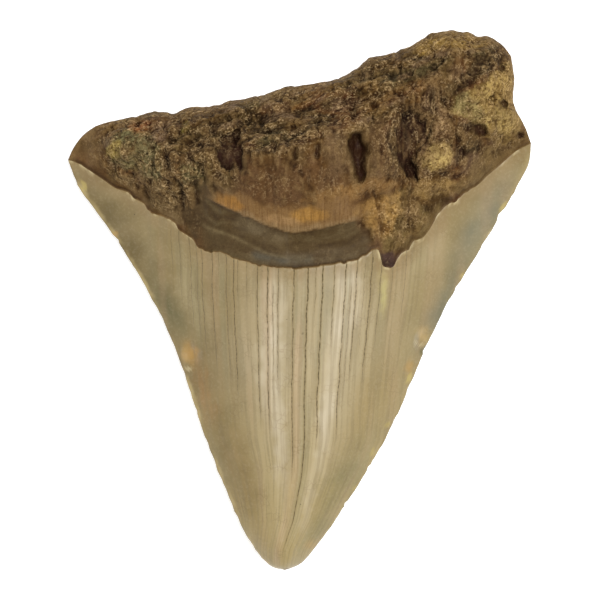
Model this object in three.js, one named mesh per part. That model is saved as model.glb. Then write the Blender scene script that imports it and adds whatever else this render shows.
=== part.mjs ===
// A fossil shark tooth that lies on its flat outer face, with its rounded inner face up.
// Millimetres, +Z up. The tip points towards -Y and the root lies towards +Y.
import * as THREE from 'three';

const { clamp, lerp, smoothstep, degToRad } = THREE.MathUtils;

// Outline seen from above: points on smooth curves. Both cutting edges start at the tip.
const LEFT_EDGE = [
  [-2.6, -48.4], [-5.7, -47.3], [-9.6, -42.1], [-13.4, -33.7], [-16.5, -25.9], [-18.8, -19.1],
  [-21.7, -10.4], [-25.3, -2.0], [-30.3, 6.8], [-36.1, 15.5], [-39.5, 20.0], [-41.1, 23.8], [-41.7, 25.4],
];
const RIGHT_EDGE = [
  [-2.6, -48.4], [0.3, -47.2], [3.5, -43.6], [8.4, -36.5], [13.0, -29.2], [17.6, -20.5], [20.4, -14.0],
  [22.4, -9.0], [26.6, -0.5], [31.9, 8.3], [36.3, 15.5], [39.5, 21.2], [41.3, 24.8], [41.7, 28.4],
];
const LEFT_END = [[-41.7, 25.4], [-40.6, 27.7], [-38.8, 29.9], [-36.6, 31.5]];
const TOP_EDGE = [
  [-36.6, 31.5], [-34.1, 32.2], [-29.8, 33.1], [-26.6, 34.0], [-22.9, 33.7], [-20.1, 34.7], [-15.8, 35.1],
  [-10.3, 36.2], [-6.8, 36.9], [-2.8, 38.3], [1.5, 38.9], [6.9, 40.0], [10.2, 41.6], [12.3, 43.4],
  [15.6, 44.3], [19.9, 45.7], [22.1, 47.2], [24.2, 48.1], [27.1, 48.4], [29.6, 48.2], [31.8, 47.5],
  [33.9, 47.5], [36.4, 45.9], [38.1, 43.9],
];
const RIGHT_END = [[41.7, 28.4], [40.6, 31.3], [39.0, 34.2], [38.4, 36.4], [38.6, 40.0], [38.1, 43.9]];
const HALF_WIDTH = 41.7;
const HALF_LENGTH = 48.4;

// Where the enamel ends on the inner face, from the left corner to the right corner.
const ENAMEL_MARGIN = [
  [-41.7, 25.4], [-39.8, 24.2], [-37.7, 22.9], [-35.0, 20.7], [-30.0, 18.5], [-26.9, 16.6], [-24.2, 15.1],
  [-21.5, 13.0], [-19.7, 11.5], [-14.8, 9.4], [-10.7, 7.7], [-6.8, 6.1], [-1.7, 5.6], [5.5, 6.5],
  [10.0, 7.2], [12.7, 8.5], [13.9, 8.8], [14.8, 6.8], [15.9, 5.8], [17.0, 6.1], [18.1, 7.6], [20.8, 9.7],
  [22.6, 10.8], [24.0, 12.6], [25.1, 15.1], [25.6, 16.4], [28.0, 17.3], [30.7, 19.8], [33.4, 21.4],
  [36.1, 23.9], [38.8, 26.5], [41.7, 28.4],
];

// The upper bound of the dark chevron band, which is the foot of the root's first ledge.
const BAND_TOP = [
  [-16.5, 18.4], [-14.7, 17.5], [-10.7, 15.7], [-7.1, 14.0], [-4.4, 13.0], [-1.3, 12.2], [3.7, 13.0],
  [8.2, 14.0], [11.8, 15.1], [18.1, 18.7], [19.5, 19.6],
];

// Heights above the surface that the tooth rests on.
const CUTTING_EDGE_HEIGHT = 2.8;
const CUTTING_EDGE_THICKNESS = 0.4;
const CROWN_HEIGHT = 15;
const TIP_HEIGHT = 5.8;
const TIP_LIFT = 1.6;
const TIP_LIFT_CURVE = 1.5;
const ROOT_HEIGHT = 21.5;
const ROOT_END_DROP = 12.5;
const ROOT_END_CURVE = 1.6;
const ROOT_RIM_HEIGHT = 6;
const ROOT_RIM_RISE = 6;

// The crown: where it is thickest, how it thins to the tip, and the swell of its section.
const CROWN_FOOT_Y = 8;
const CROWN_TAPER = 1.7;
const CROWN_SWELL = 0.15;
const TIP_ROUNDING = 6;
const RIDGES = [
  { side: -0.2, height: 0.45 },
  { side: 0.24, height: 0.45 },
];
const RIDGE_WIDTH = 0.13;
const RIDGE_FADE = 0.4;
const HOLLOWS = [
  { side: -0.74, middleY: -1, depth: 0.7 },
  { side: 0.8, middleY: 5, depth: 0.5 },
];
const HOLLOW_WIDTH = 0.15;
const HOLLOW_LENGTH = 13;

// The chevron band stays level with the crown, between two ends that fade.
const BAND_WIDTH = 2.5;
const BAND_START = { from: -17.5, to: -13 };
const BAND_END = { from: 16, to: 20 };
const BAND_SMOOTHNESS = 0.25;
const BAND_SMOOTH_EDGE = { from: 1, to: 6 };

// The root's rise out of the crown, beside the chevron band and at the root's ends.
const ROOT_RISE = 12;
const ROOT_RISE_AT_ENDS = 8;
const MIDDLE_REACH = 14;
const END_REACH = 30;
const ENAMEL_STEP = 0.5;
const ENAMEL_STEP_WIDTH = 0.9;
const LEDGE = { height: 0.9, from: -0.5, to: 0.7, fadeFrom: 1, fadeTo: 7 };

// The broken slope between the root's face and its rim.
const SHOULDER_HEIGHT = 11.5;
const SHOULDER_LEFT = { drop: 4, from: 16, to: 40 };
const SHOULDER_RIGHT = { drop: 1.5, from: 24, to: 40 };
const SLOPE = { left: 0.98, right: 0.62, from: 2, to: 26 };
const SLOPE_ROUGHNESS = 1.3;
const SLOPE_LUMP_SIZE = 7;
const BREAK_SOFTNESS = 1.2;
const BREAK_ROUNDING = 0.6;

// Lumps of the whole root's surface, and its upright grain.
const LUMP_HEIGHT = 0.85;
const LUMP_SIZE = 4.6;
const GRAIN_HEIGHT = 0.4;
const GRAIN_SIZE = [2.8, 9];

// The rim rounds off over this width on the inner face and on the outer face.
const ROOT_RIM_WIDTH = 3;
const BACK_RIM_WIDTH = 6;
const RIM_ROUNDNESS = 2.2;

// The outer face is flat over this share of its half width.
const FLAT_SHARE = 0.45;

// Where the enamel ends on the outer face: an arch between the corners, with a groove above it.
const BACK_MARGIN_SAG = 8.5;
const BACK_GROOVE = { width: 4.5, depth: 0.5 };

// Pits and lumps fade between these shares of their oval.
const OVAL_FADE = { from: 0.25, to: 1.15 };

// Hollows in the inner face: place, width and length, depth, and turn in degrees.
const PITS = [
  { at: [10.4, 27.6], size: [3.8, 8.6], depth: 3.4, turn: 0 },
  { at: [-11.2, 28.0], size: [3.0, 6.4], depth: 2.6, turn: 6 },
  { at: [-13.6, 26.4], size: [2.4, 3.4], depth: 1.4, turn: 0 },
  { at: [17.9, 26.4], size: [3.0, 8.4], depth: 2.8, turn: 8 },
  { at: [21.9, 28.2], size: [3.2, 4.6], depth: 2.2, turn: -20 },
  { at: [20.6, 23.0], size: [3.0, 4.2], depth: 2.2, turn: 20 },
  { at: [20.8, 33.0], size: [3.4, 4.2], depth: 1.8, turn: 0 },
  { at: [24.0, 30.4], size: [3.0, 3.4], depth: 1.8, turn: 0 },
  { at: [-4.5, 27.8], size: [1.8, 4.0], depth: 1.4, turn: 0 },
  { at: [-0.6, 26.8], size: [2.2, 3.0], depth: 1.2, turn: 0 },
  { at: [3.1, 27.2], size: [2.2, 3.6], depth: 1.3, turn: 0 },
  { at: [33.4, 29.6], size: [2.6, 2.6], depth: 1.6, turn: 0 },
  { at: [29.4, 27.0], size: [3.0, 3.2], depth: 1.5, turn: 0 },
  { at: [36.5, 35.4], size: [2.2, 2.4], depth: 1.3, turn: 0 },
  { at: [36.4, 41.6], size: [2.0, 2.2], depth: 1.1, turn: 0 },
  { at: [39.6, 29.9], size: [2.2, 2.2], depth: 1.0, turn: 0 },
  { at: [-17.4, 23.8], size: [1.8, 4.4], depth: 1.1, turn: 28 },
  { at: [-19.7, 27.6], size: [2.4, 3.6], depth: 1.1, turn: 0 },
  { at: [-28.4, 27.6], size: [5.0, 4.4], depth: 1.0, turn: 0 },
  { at: [-19.4, -9.6], size: [3.6, 5.0], depth: 0.7, turn: 20 },
  { at: [22.2, -7.0], size: [3.4, 4.6], depth: 0.7, turn: -24 },
];

// Rounded rises on the root: place, width and length, and height.
const LUMPS = [
  { at: [33.0, 37.5], size: [14, 17], height: 1.8 },
  { at: [25.6, 25.6], size: [8, 7], height: 1.3 },
  { at: [-31.0, 28.6], size: [13, 7], height: 1.0 },
  { at: [4.0, 23.0], size: [34, 13], height: 1.0 },
  { at: [-22.4, 24.4], size: [8, 9], height: 0.8 },
  { at: [19.0, 16.0], size: [9, 9], height: 0.9 },
];

// Long furrows on the root: the points along each one, its width and its depth.
const FURROWS = [
  { path: [[31.8, 43.0], [30.4, 39.2], [26.8, 35.0]], width: 3.2, depth: 1.4 },
  { path: [[-23.4, 33.4], [-22.8, 29.0], [-24.2, 24.0]], width: 2.6, depth: 0.8 },
];

// Mesh steps of the inner face: across the root, from the tip to the enamel's end, and from
// there to the root's rim. The flat outer face has half as many.
const STEPS = { across: 64, crown: 40, root: 26 };
const CROWN_BEND = 1.5;
const RIM_STEP_EASE = 1.3;

const spline = (points) => new THREE.SplineCurve(points.map(([x, y]) => new THREE.Vector2(x, y)));
const leftEdge = spline(LEFT_EDGE);
const rightEdge = spline(RIGHT_EDGE);
const leftEnd = spline(LEFT_END);
const topEdge = spline(TOP_EDGE);
const rightEnd = spline(RIGHT_END);

// Curves as lines of points, close enough together to measure from.
const samples = (curve, count) => curve.getSpacedPoints(count).map((p) => [p.x, p.y]);
const swapped = (points) => points.map(([x, y]) => [y, x]);
const leftEdgeByY = swapped(samples(leftEdge, 120));
const rightEdgeByY = swapped(samples(rightEdge, 120));
const marginLine = samples(spline(ENAMEL_MARGIN), 160);
const topLine = samples(topEdge, 96);
const rimLine = [...samples(leftEnd, 16), ...topLine.slice(1)];
rimLine.push(...samples(rightEnd, 24).reverse().slice(1));

// The second value of a line of points at the given first value, which rises along the line.
function lineAt(points, first) {
  const next = points.findIndex(([value]) => value > first);
  if (next === 0) return points[0][1];
  if (next < 0) return points[points.length - 1][1];
  const [a0, b0] = points[next - 1];
  const [a1, b1] = points[next];
  return lerp(b0, b1, (first - a0) / (a1 - a0));
}

function distanceToLine(points, x, y) {
  let nearest = Infinity;
  for (let i = 1; i < points.length; i++) {
    const [ax, ay] = points[i - 1];
    const [bx, by] = points[i];
    const along = ((x - ax) * (bx - ax) + (y - ay) * (by - ay)) / ((bx - ax) ** 2 + (by - ay) ** 2);
    const share = clamp(along, 0, 1);
    nearest = Math.min(nearest, Math.hypot(x - lerp(ax, bx, share), y - lerp(ay, by, share)));
  }
  return nearest;
}

// A number from -1 to 1 for each whole-numbered place, always the same one.
function scatter(i, j) {
  const value = Math.sin(i * 12.9898 + j * 78.233) * 43758.5453;
  return 2 * (value - Math.floor(value)) - 1;
}

// Smooth noise between -1 and 1, one lump per unit.
function noise(x, y) {
  const i = Math.floor(x);
  const j = Math.floor(y);
  const u = smoothstep(x - i, 0, 1);
  const v = smoothstep(y - j, 0, 1);
  const lower = lerp(scatter(i, j), scatter(i + 1, j), u);
  const upper = lerp(scatter(i, j + 1), scatter(i + 1, j + 1), u);
  return lerp(lower, upper, v);
}

// Lumps of the given size with half as high, half as large ones on them.
const roughness = (x, y, size) => noise(x / size, y / size) + 0.5 * noise(2 * x / size, 2 * y / size);

// One in the middle of an oval, zero outside of it, and smooth in between.
function ovalShare(x, y, [cx, cy], [width, length], turn = 0) {
  const angle = degToRad(turn);
  const dx = (x - cx) * Math.cos(angle) + (y - cy) * Math.sin(angle);
  const dy = (y - cy) * Math.cos(angle) - (x - cx) * Math.sin(angle);
  const fromMiddle = Math.hypot(dx / (width / 2), dy / (length / 2));
  return 1 - smoothstep(fromMiddle, OVAL_FADE.from, OVAL_FADE.to);
}

const bell = (value, width) => Math.exp(-((value / width) ** 2));

// Rises steeply from zero and levels off at one, like the side of a pebble.
const rounded = (share) => (1 - (1 - clamp(share, 0, 1)) ** RIM_ROUNDNESS) ** (1 / RIM_ROUNDNESS);

// Place between the cutting edges, from -1 at the left one to 1 at the right one.
function sideAt(x, y) {
  const left = lineAt(leftEdgeByY, y);
  const right = lineAt(rightEdgeByY, y);
  return right > left ? clamp((2 * x - left - right) / (right - left), -1, 1) : 0;
}

// The crown's rounded inner face.
function crownHeight(y, side) {
  const down = clamp((CROWN_FOOT_Y - y) / (HALF_LENGTH + CROWN_FOOT_Y), 0, 1);
  const middle = CROWN_HEIGHT - (CROWN_HEIGHT - TIP_HEIGHT) * down ** CROWN_TAPER;
  const section = (1 - side * side) * (1 - CROWN_SWELL * side * side);
  const bulge = section * rounded((y + HALF_LENGTH) / TIP_ROUNDING);
  let height = CUTTING_EDGE_HEIGHT + (middle - CUTTING_EDGE_HEIGHT) * bulge;
  for (const ridge of RIDGES) {
    height += ridge.height * bell(side - ridge.side, RIDGE_WIDTH) * smoothstep(down, 0, RIDGE_FADE) * bulge;
  }
  for (const hollow of HOLLOWS) {
    height -= hollow.depth * bell(side - hollow.side, HOLLOW_WIDTH) * bell(y - hollow.middleY, HOLLOW_LENGTH);
  }
  return height;
}

// The root's face, cut off by the broken slope that runs down to its rim.
function rootHeight(x, y, toRim) {
  const face = ROOT_HEIGHT - ROOT_END_DROP * (Math.abs(x) / HALF_WIDTH) ** ROOT_END_CURVE;
  const leftDrop = SHOULDER_LEFT.drop * smoothstep(-x, SHOULDER_LEFT.from, SHOULDER_LEFT.to);
  const rightDrop = SHOULDER_RIGHT.drop * smoothstep(x, SHOULDER_RIGHT.from, SHOULDER_RIGHT.to);
  const shoulder = SHOULDER_HEIGHT - leftDrop - rightDrop;
  const slope = lerp(SLOPE.left, SLOPE.right, smoothstep(x, SLOPE.from, SLOPE.to));
  const broken = shoulder + slope * toRim + SLOPE_ROUGHNESS * roughness(x, y, SLOPE_LUMP_SIZE);
  const share = clamp(0.5 + 0.5 * (broken - face) / BREAK_SOFTNESS, 0, 1);
  return lerp(broken, face, share) - BREAK_ROUNDING * share * (1 - share);
}

// Ledge, lumps, grain and furrows that the plain form of the root gets.
function rootRelief(x, y, aboveMargin, inBand) {
  const aboveBand = y - lineAt(BAND_TOP, x);
  const aboveSmooth = lerp(aboveMargin, aboveBand, inBand);
  const upOnRoot = smoothstep(aboveSmooth, BAND_SMOOTH_EDGE.from, BAND_SMOOTH_EDGE.to);
  let relief = LEDGE.height * inBand * smoothstep(aboveBand, LEDGE.from, LEDGE.to);
  relief -= LEDGE.height * inBand * smoothstep(aboveBand, LEDGE.fadeFrom, LEDGE.fadeTo);
  relief += LUMP_HEIGHT * lerp(BAND_SMOOTHNESS, 1, upOnRoot) * roughness(x, y, LUMP_SIZE);
  relief += GRAIN_HEIGHT * upOnRoot * noise(x / GRAIN_SIZE[0], y / GRAIN_SIZE[1]);
  for (const lump of LUMPS) {
    relief += lump.height * ovalShare(x, y, lump.at, lump.size);
  }
  for (const furrow of FURROWS) {
    relief -= furrow.depth * (1 - smoothstep(distanceToLine(furrow.path, x, y), 0, furrow.width / 2));
  }
  return relief;
}

function pitDepth(x, y) {
  return PITS.reduce((sum, pit) => sum + pit.depth * ovalShare(x, y, pit.at, pit.size, pit.turn), 0);
}

// Height of the outline itself: low along the cutting edges, halfway up the root at its rim.
function outlineHeight(x, y) {
  const endY = x < 0 ? LEFT_END[0][1] : RIGHT_END[0][1];
  return lerp(CUTTING_EDGE_HEIGHT, ROOT_RIM_HEIGHT, smoothstep(y, endY, endY + ROOT_RIM_RISE));
}

const innerMargin = (x) => lineAt(marginLine, x);

function innerFaceHeight(x, y) {
  const crown = crownHeight(y, sideAt(x, y));
  const fromMargin = distanceToLine(marginLine, x, y);
  const aboveMargin = y > innerMargin(x) ? fromMargin : -fromMargin;
  if (aboveMargin <= 0) return crown - pitDepth(x, y);
  const toRim = distanceToLine(rimLine, x, y);
  const atEnd = smoothstep(Math.abs(x), MIDDLE_REACH, END_REACH);
  const riseFrom = lerp(BAND_WIDTH, 0, atEnd);
  const rise = smoothstep(aboveMargin, riseFrom, riseFrom + lerp(ROOT_RISE, ROOT_RISE_AT_ENDS, atEnd));
  const onRoot = smoothstep(aboveMargin, 0, ENAMEL_STEP_WIDTH);
  const pastStart = smoothstep(x, BAND_START.from, BAND_START.to);
  const inBand = pastStart * (1 - smoothstep(x, BAND_END.from, BAND_END.to));
  let height = lerp(crown, rootHeight(x, y, toRim), rise) - ENAMEL_STEP * onRoot * (1 - rise);
  height += onRoot * rootRelief(x, y, aboveMargin, inBand) - pitDepth(x, y);
  return lerp(outlineHeight(x, y), height, rounded(toRim / ROOT_RIM_WIDTH));
}

function outerMargin(x) {
  const corners = lerp(LEFT_END[0][1], RIGHT_END[0][1], (x + HALF_WIDTH) / (2 * HALF_WIDTH));
  return corners - BACK_MARGIN_SAG * (1 - (x / HALF_WIDTH) ** 2);
}

// The outer face is flat in its middle and curves up to the outline.
function outerFaceHeight(x, y) {
  const toSide = clamp((Math.abs(sideAt(x, y)) - FLAT_SHARE) / (1 - FLAT_SHARE), 0, 1);
  const toRim = clamp(1 - distanceToLine(rimLine, x, y) / BACK_RIM_WIDTH, 0, 1);
  const toTip = clamp(1 - (y + HALF_LENGTH) / TIP_ROUNDING, 0, 1);
  const atSide = Math.max(toSide, toTip) ** RIM_ROUNDNESS * (CUTTING_EDGE_HEIGHT - CUTTING_EDGE_THICKNESS);
  const atRim = toRim ** RIM_ROUNDNESS * (outlineHeight(x, y) - CUTTING_EDGE_THICKNESS);
  const inGroove = clamp((y - outerMargin(x)) / BACK_GROOVE.width, 0, 1);
  return Math.max(atSide, atRim) + BACK_GROOVE.depth * Math.sin(Math.PI * inGroove) ** 2;
}

const tipLift = (y) => TIP_LIFT * smoothstep(-y, HALF_LENGTH / 2, HALF_LENGTH) ** TIP_LIFT_CURVE;

// A point of the crown's field, from the tip (along = 0) to the enamel's end (along = 1).
function crownPoint(across, along, marginAt) {
  const point = leftEdge.getPointAt(along).lerp(rightEdge.getPointAt(along), across);
  const corners = leftEdge.getPoint(1).lerp(rightEdge.getPoint(1), across);
  point.y += (marginAt(corners.x) - corners.y) * along ** CROWN_BEND;
  return point;
}

// A point of the root's field, from the enamel's end (along = 0) to the rim (along = 1).
function rootPoint(across, along, marginAt) {
  const point = leftEnd.getPointAt(along).lerp(rightEnd.getPointAt(along), across);
  const low = leftEnd.getPoint(0).lerp(rightEnd.getPoint(0), across);
  const high = leftEnd.getPoint(1).lerp(rightEnd.getPoint(1), across);
  point.y += lerp(marginAt(low.x) - low.y, lineAt(topLine, high.x) - high.y, along);
  return point;
}

// Joins two rows of vertices that run side by side from end to end, whatever their counts.
function rowTriangles(lower, upper) {
  const triangles = [];
  let i = 0;
  let j = 0;
  while (i < lower.length - 1 || j < upper.length - 1) {
    const stepLower = (i + 1) * (upper.length - 1) < (j + 1) * (lower.length - 1);
    if (stepLower) triangles.push([lower[i], lower[++i], upper[j]]);
    else triangles.push([lower[i], upper[j + 1], upper[j++]]);
  }
  return triangles;
}

// One face of the tooth as rows of vertices. The ring lists its outline anticlockwise.
function buildFace(steps, marginAt, heightAt) {
  const points = [];
  const addRow = (count, pointAt) => Array.from({ length: count + 1 }, (_, i) => {
    const flat = pointAt(count ? i / count : 0);
    points.push(new THREE.Vector3(flat.x, flat.y, heightAt(flat.x, flat.y) + tipLift(flat.y)));
    return points.length - 1;
  });
  const rows = [];
  for (let row = 0; row <= steps.crown; row++) {
    const along = row / steps.crown;
    rows.push(addRow(Math.round(steps.across * along), (across) => crownPoint(across, along, marginAt)));
  }
  for (let row = 1; row <= steps.root; row++) {
    const along = 1 - (1 - row / steps.root) ** RIM_STEP_EASE;
    rows.push(addRow(steps.across, (across) => rootPoint(across, along, marginAt)));
  }
  const triangles = rows.slice(1).flatMap((row, i) => rowTriangles(rows[i], row));
  const top = rows[rows.length - 1];
  const rightSide = rows.slice(0, -1).map((row) => row[row.length - 1]);
  const leftSide = rows.slice(1, -1).map((row) => row[0]);
  return { points, triangles, ring: [...rightSide, ...top.reverse(), ...leftSide.reverse()] };
}

function buildTooth() {
  const inner = buildFace(STEPS, innerMargin, innerFaceHeight);
  const halfSteps = { across: STEPS.across / 2, crown: STEPS.crown / 2, root: STEPS.root / 2 };
  const outer = buildFace(halfSteps, outerMargin, outerFaceHeight);
  const start = inner.points.length;
  const triangles = [...inner.triangles];
  for (const [a, b, c] of outer.triangles) {
    triangles.push([start + a, start + c, start + b]);
  }
  outer.ring.forEach((vertex, i) => {
    const below = start + vertex;
    const belowNext = start + outer.ring[(i + 1) % outer.ring.length];
    const [first, middle] = inner.ring.slice(2 * i, 2 * i + 2);
    const last = inner.ring[(2 * i + 2) % inner.ring.length];
    triangles.push([first, below, middle], [middle, below, belowNext], [middle, belowNext, last]);
  });
  const geometry = new THREE.BufferGeometry().setFromPoints([...inner.points, ...outer.points]);
  geometry.setIndex(triangles.flat());
  geometry.computeBoundingBox();
  const middle = geometry.boundingBox.getCenter(new THREE.Vector3());
  geometry.translate(-middle.x, -middle.y, -geometry.boundingBox.min.z);
  geometry.computeVertexNormals();
  const fossil = new THREE.MeshStandardMaterial({ color: 0xa8946b, roughness: 0.55, metalness: 0 });
  const mesh = new THREE.Mesh(geometry, fossil);
  mesh.name = 'tooth';
  return mesh;
}

const group = new THREE.Group();
group.add(buildTooth());

export default group;
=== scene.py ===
import bpy
import numpy as np
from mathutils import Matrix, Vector


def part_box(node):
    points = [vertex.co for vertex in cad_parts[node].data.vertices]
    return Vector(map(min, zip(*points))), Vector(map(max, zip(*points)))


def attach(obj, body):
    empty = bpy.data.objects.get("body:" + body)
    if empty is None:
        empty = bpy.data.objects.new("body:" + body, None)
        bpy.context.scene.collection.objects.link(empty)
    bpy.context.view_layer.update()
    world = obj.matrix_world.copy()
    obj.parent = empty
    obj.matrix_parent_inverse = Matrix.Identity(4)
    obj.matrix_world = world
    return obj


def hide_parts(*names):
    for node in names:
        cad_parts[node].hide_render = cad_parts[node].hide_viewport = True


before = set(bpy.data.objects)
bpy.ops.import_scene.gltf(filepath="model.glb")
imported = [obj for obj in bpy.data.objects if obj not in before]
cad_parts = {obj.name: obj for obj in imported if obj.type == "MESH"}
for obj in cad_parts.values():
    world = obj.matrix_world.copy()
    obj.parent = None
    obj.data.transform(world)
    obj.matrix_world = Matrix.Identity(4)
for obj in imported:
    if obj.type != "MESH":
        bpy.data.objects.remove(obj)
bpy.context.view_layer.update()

MM = 0.001

# Outline seen from above: points on smooth curves. Both cutting edges start at the tip.
LEFT_EDGE = [
    (-2.6, -48.4), (-5.7, -47.3), (-9.6, -42.1), (-13.4, -33.7), (-16.5, -25.9), (-18.8, -19.1),
    (-21.7, -10.4), (-25.3, -2), (-30.3, 6.8), (-36.1, 15.5), (-39.5, 20), (-41.1, 23.8), (-41.7, 25.4),
]
RIGHT_EDGE = [
    (-2.6, -48.4), (0.3, -47.2), (3.5, -43.6), (8.4, -36.5), (13, -29.2), (17.6, -20.5), (20.4, -14),
    (22.4, -9), (26.6, -0.5), (31.9, 8.3), (36.3, 15.5), (39.5, 21.2), (41.3, 24.8), (41.7, 28.4),
]
LEFT_END = [(-41.7, 25.4), (-40.6, 27.7), (-38.8, 29.9), (-36.6, 31.5)]
TOP_EDGE = [
    (-36.6, 31.5), (-34.1, 32.2), (-29.8, 33.1), (-26.6, 34), (-22.9, 33.7), (-20.1, 34.7), (-15.8, 35.1),
    (-10.3, 36.2), (-6.8, 36.9), (-2.8, 38.3), (1.5, 38.9), (6.9, 40), (10.2, 41.6), (12.3, 43.4),
    (15.6, 44.3), (19.9, 45.7), (22.1, 47.2), (24.2, 48.1), (27.1, 48.4), (29.6, 48.2), (31.8, 47.5),
    (33.9, 47.5), (36.4, 45.9), (38.1, 43.9),
]
RIGHT_END = [(41.7, 28.4), (40.6, 31.3), (39, 34.2), (38.4, 36.4), (38.6, 40), (38.1, 43.9)]
HALF_WIDTH = 41.7
HALF_LENGTH = 48.4

# Where the enamel ends on the inner face, from the left corner to the right corner.
ENAMEL_MARGIN = [
    (-41.7, 25.4), (-40, 24.8), (-37.7, 23.4), (-35, 21.6), (-33.4, 20.5), (-30.9, 19.7), (-29.6, 18.3),
    (-27.9, 17.3), (-27.1, 16.1), (-25.1, 15.5), (-22.4, 14), (-21.7, 12.8), (-19.3, 11.2), (-18.5, 10.1),
    (-17.5, 9.3), (-14.3, 8.6), (-12.1, 7.8), (-10.7, 7.3), (-9, 6.8), (-7.1, 6.5), (-4.9, 6.1),
    (-1.7, 5.7), (5.5, 6.5), (10, 7.2), (12, 8.3), (13.6, 9.4), (14.4, 8.4), (14.8, 6.5),
    (15.5, 5.9), (16.8, 6.1), (17.6, 7.6),
    (18.4, 8.6), (19.5, 9), (20.2, 10.3), (21.4, 10.8), (22.3, 11.4), (23.3, 12.7), (24.1, 14.2),
    (24.9, 15.7), (26.2, 16.9), (27.9, 17.8), (29.8, 19.1), (31.6, 20.5), (33.8, 22.4),
    (36.5, 24.8), (38.8, 26.8), (41.7, 28.4),
]

# The upper bound of the dark chevron band, and the upper bound of the fibrous band above it.
BAND_TOP = [
    (-16.5, 18.4), (-14.7, 17.5), (-10.7, 15.7), (-7.1, 14), (-4.4, 13), (-1.3, 12.2), (3.7, 13),
    (8.2, 14), (11.8, 15.1), (18.1, 18.7), (19.5, 19.6),
]
FIBRES_TOP = [
    (-16.5, 19.6), (-14.3, 19.6), (-9.8, 18.9), (-6.8, 17.3), (-2.6, 16.6), (1.9, 17.5), (4.6, 18.2),
    (9.1, 19.2), (15.4, 20.4), (19.5, 20.8),
]

# Fine teeth of each line: their length and height, the share of a tooth that its flank takes, and
# how far from the corners the teeth are low.
MARGIN_TEETH = [(1.9, 0.35), (0.8, 0.42)]
RIM_TEETH = [(1.7, 0.3), (0.7, 0.18)]
BAND_TEETH = [(1.1, 0.3), (0.5, 0.15)]
FIBRES_TEETH = [(1.6, 0.45), (0.6, 0.2)]
TOOTH_FLANK = (0.15, 0.85)
CALM_CORNERS = (5, 11)
CALM_SHARE = 0.2
STEEP_CALM = 0.7
LINE_POINTS = 700
BACK_LINE_POINTS = 160

# Heights above the surface that the tooth rests on.
CUTTING_EDGE_HEIGHT = 2.8
CUTTING_EDGE_THICKNESS = 0.4
CROWN_HEIGHT = 15
TIP_HEIGHT = 5.8
TIP_LIFT = 1.6
TIP_LIFT_CURVE = 1.5
ROOT_HEIGHT = 21.2
ROOT_END_DROP = 12.5
ROOT_END_CURVE = 1.6
ROOT_RIM_HEIGHT = 6
ROOT_RIM_RISE = 6

# The crown: where it is thickest, how it thins to the tip, and the swell of its section. Ridges
# have a place between the edges, from -1 to 1, and a height. Hollows have a height in plan too.
CROWN_FOOT_Y = 8
CROWN_TAPER = 1.7
CROWN_SWELL = 0.15
TIP_ROUNDING = 6
RIDGES = [(-0.2, 0.45), (0.24, 0.45)]
RIDGE_WIDTH = 0.13
RIDGE_FADE = 0.4
HOLLOWS = [(-0.74, -1, 0.7), (0.8, 5, 0.5)]
HOLLOW_WIDTH = 0.15
HOLLOW_LENGTH = 13

# The chevron band stays level with the crown, between two ends that fade. Pairs of values say
# where something starts and where it is full.
BAND_WIDTH = 2.5
BAND_START = (-17.5, -13)
BAND_END = (14, 18)
BAND_END_LEAN = 0.6
BAND_END_RAGGEDNESS = 0.8
BAND_END_LUMPS = 1.8
SMOOTH_START = (-20.5, -15.5)
SMOOTH_END = (12.8, 14.8)
BAND_SMOOTHNESS = 0.25
BAND_SMOOTH_EDGE = (1, 6)
MARGIN_SMOOTH_EDGE = (0.2, 1.8)

# The root's rise out of the crown, beside the chevron band and at the root's ends.
ROOT_RISE = 12
ROOT_RISE_AT_ENDS = 8
MIDDLE_REACH = 14
END_REACH = 30
ENAMEL_STEP = 0.38
ENAMEL_STEP_WIDTH = 0.35
LEDGE_HEIGHT = 0.3
LEDGE_EDGE = (-0.25, 0.25)
LEDGE_FADE = (1, 7)

# The broken slope between the root's face and its rim. At each shoulder it drops by an amount
# between two distances from the middle.
SHOULDER_HEIGHT = 11.5
SHOULDER_LEFT = (4, 16, 40)
SHOULDER_RIGHT = (1.5, 24, 40)
SLOPE_LEFT = 0.98
SLOPE_RIGHT = 0.62
SLOPE_REACH = (2, 26)
SLOPE_ROUGHNESS = 1.3
SLOPE_LUMP_SIZE = 7
BREAK_SOFTNESS = 1.2
BREAK_ROUNDING = 0.6
BREAK_START = (1, 4)

# Lumps of the whole root's surface, and its upright grain.
LUMP_HEIGHT = 0.85
LUMP_SIZE = 4.6
GRAIN_HEIGHT = 0.4
GRAIN_SIZE = (2.8, 9)

# The rim rounds off over a width on the inner face and on the outer face, whose middle is flat.
ROOT_RIM_WIDTH = 3
BACK_RIM_WIDTH = 6
RIM_ROUNDNESS = 2.2
FLAT_SHARE = 0.45

# Where the enamel ends on the outer face: an arch between the corners, with a groove above it.
BACK_MARGIN_SAG = 8.5
BACK_GROOVE_WIDTH = 4.5
BACK_GROOVE_DEPTH = 0.5

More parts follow.
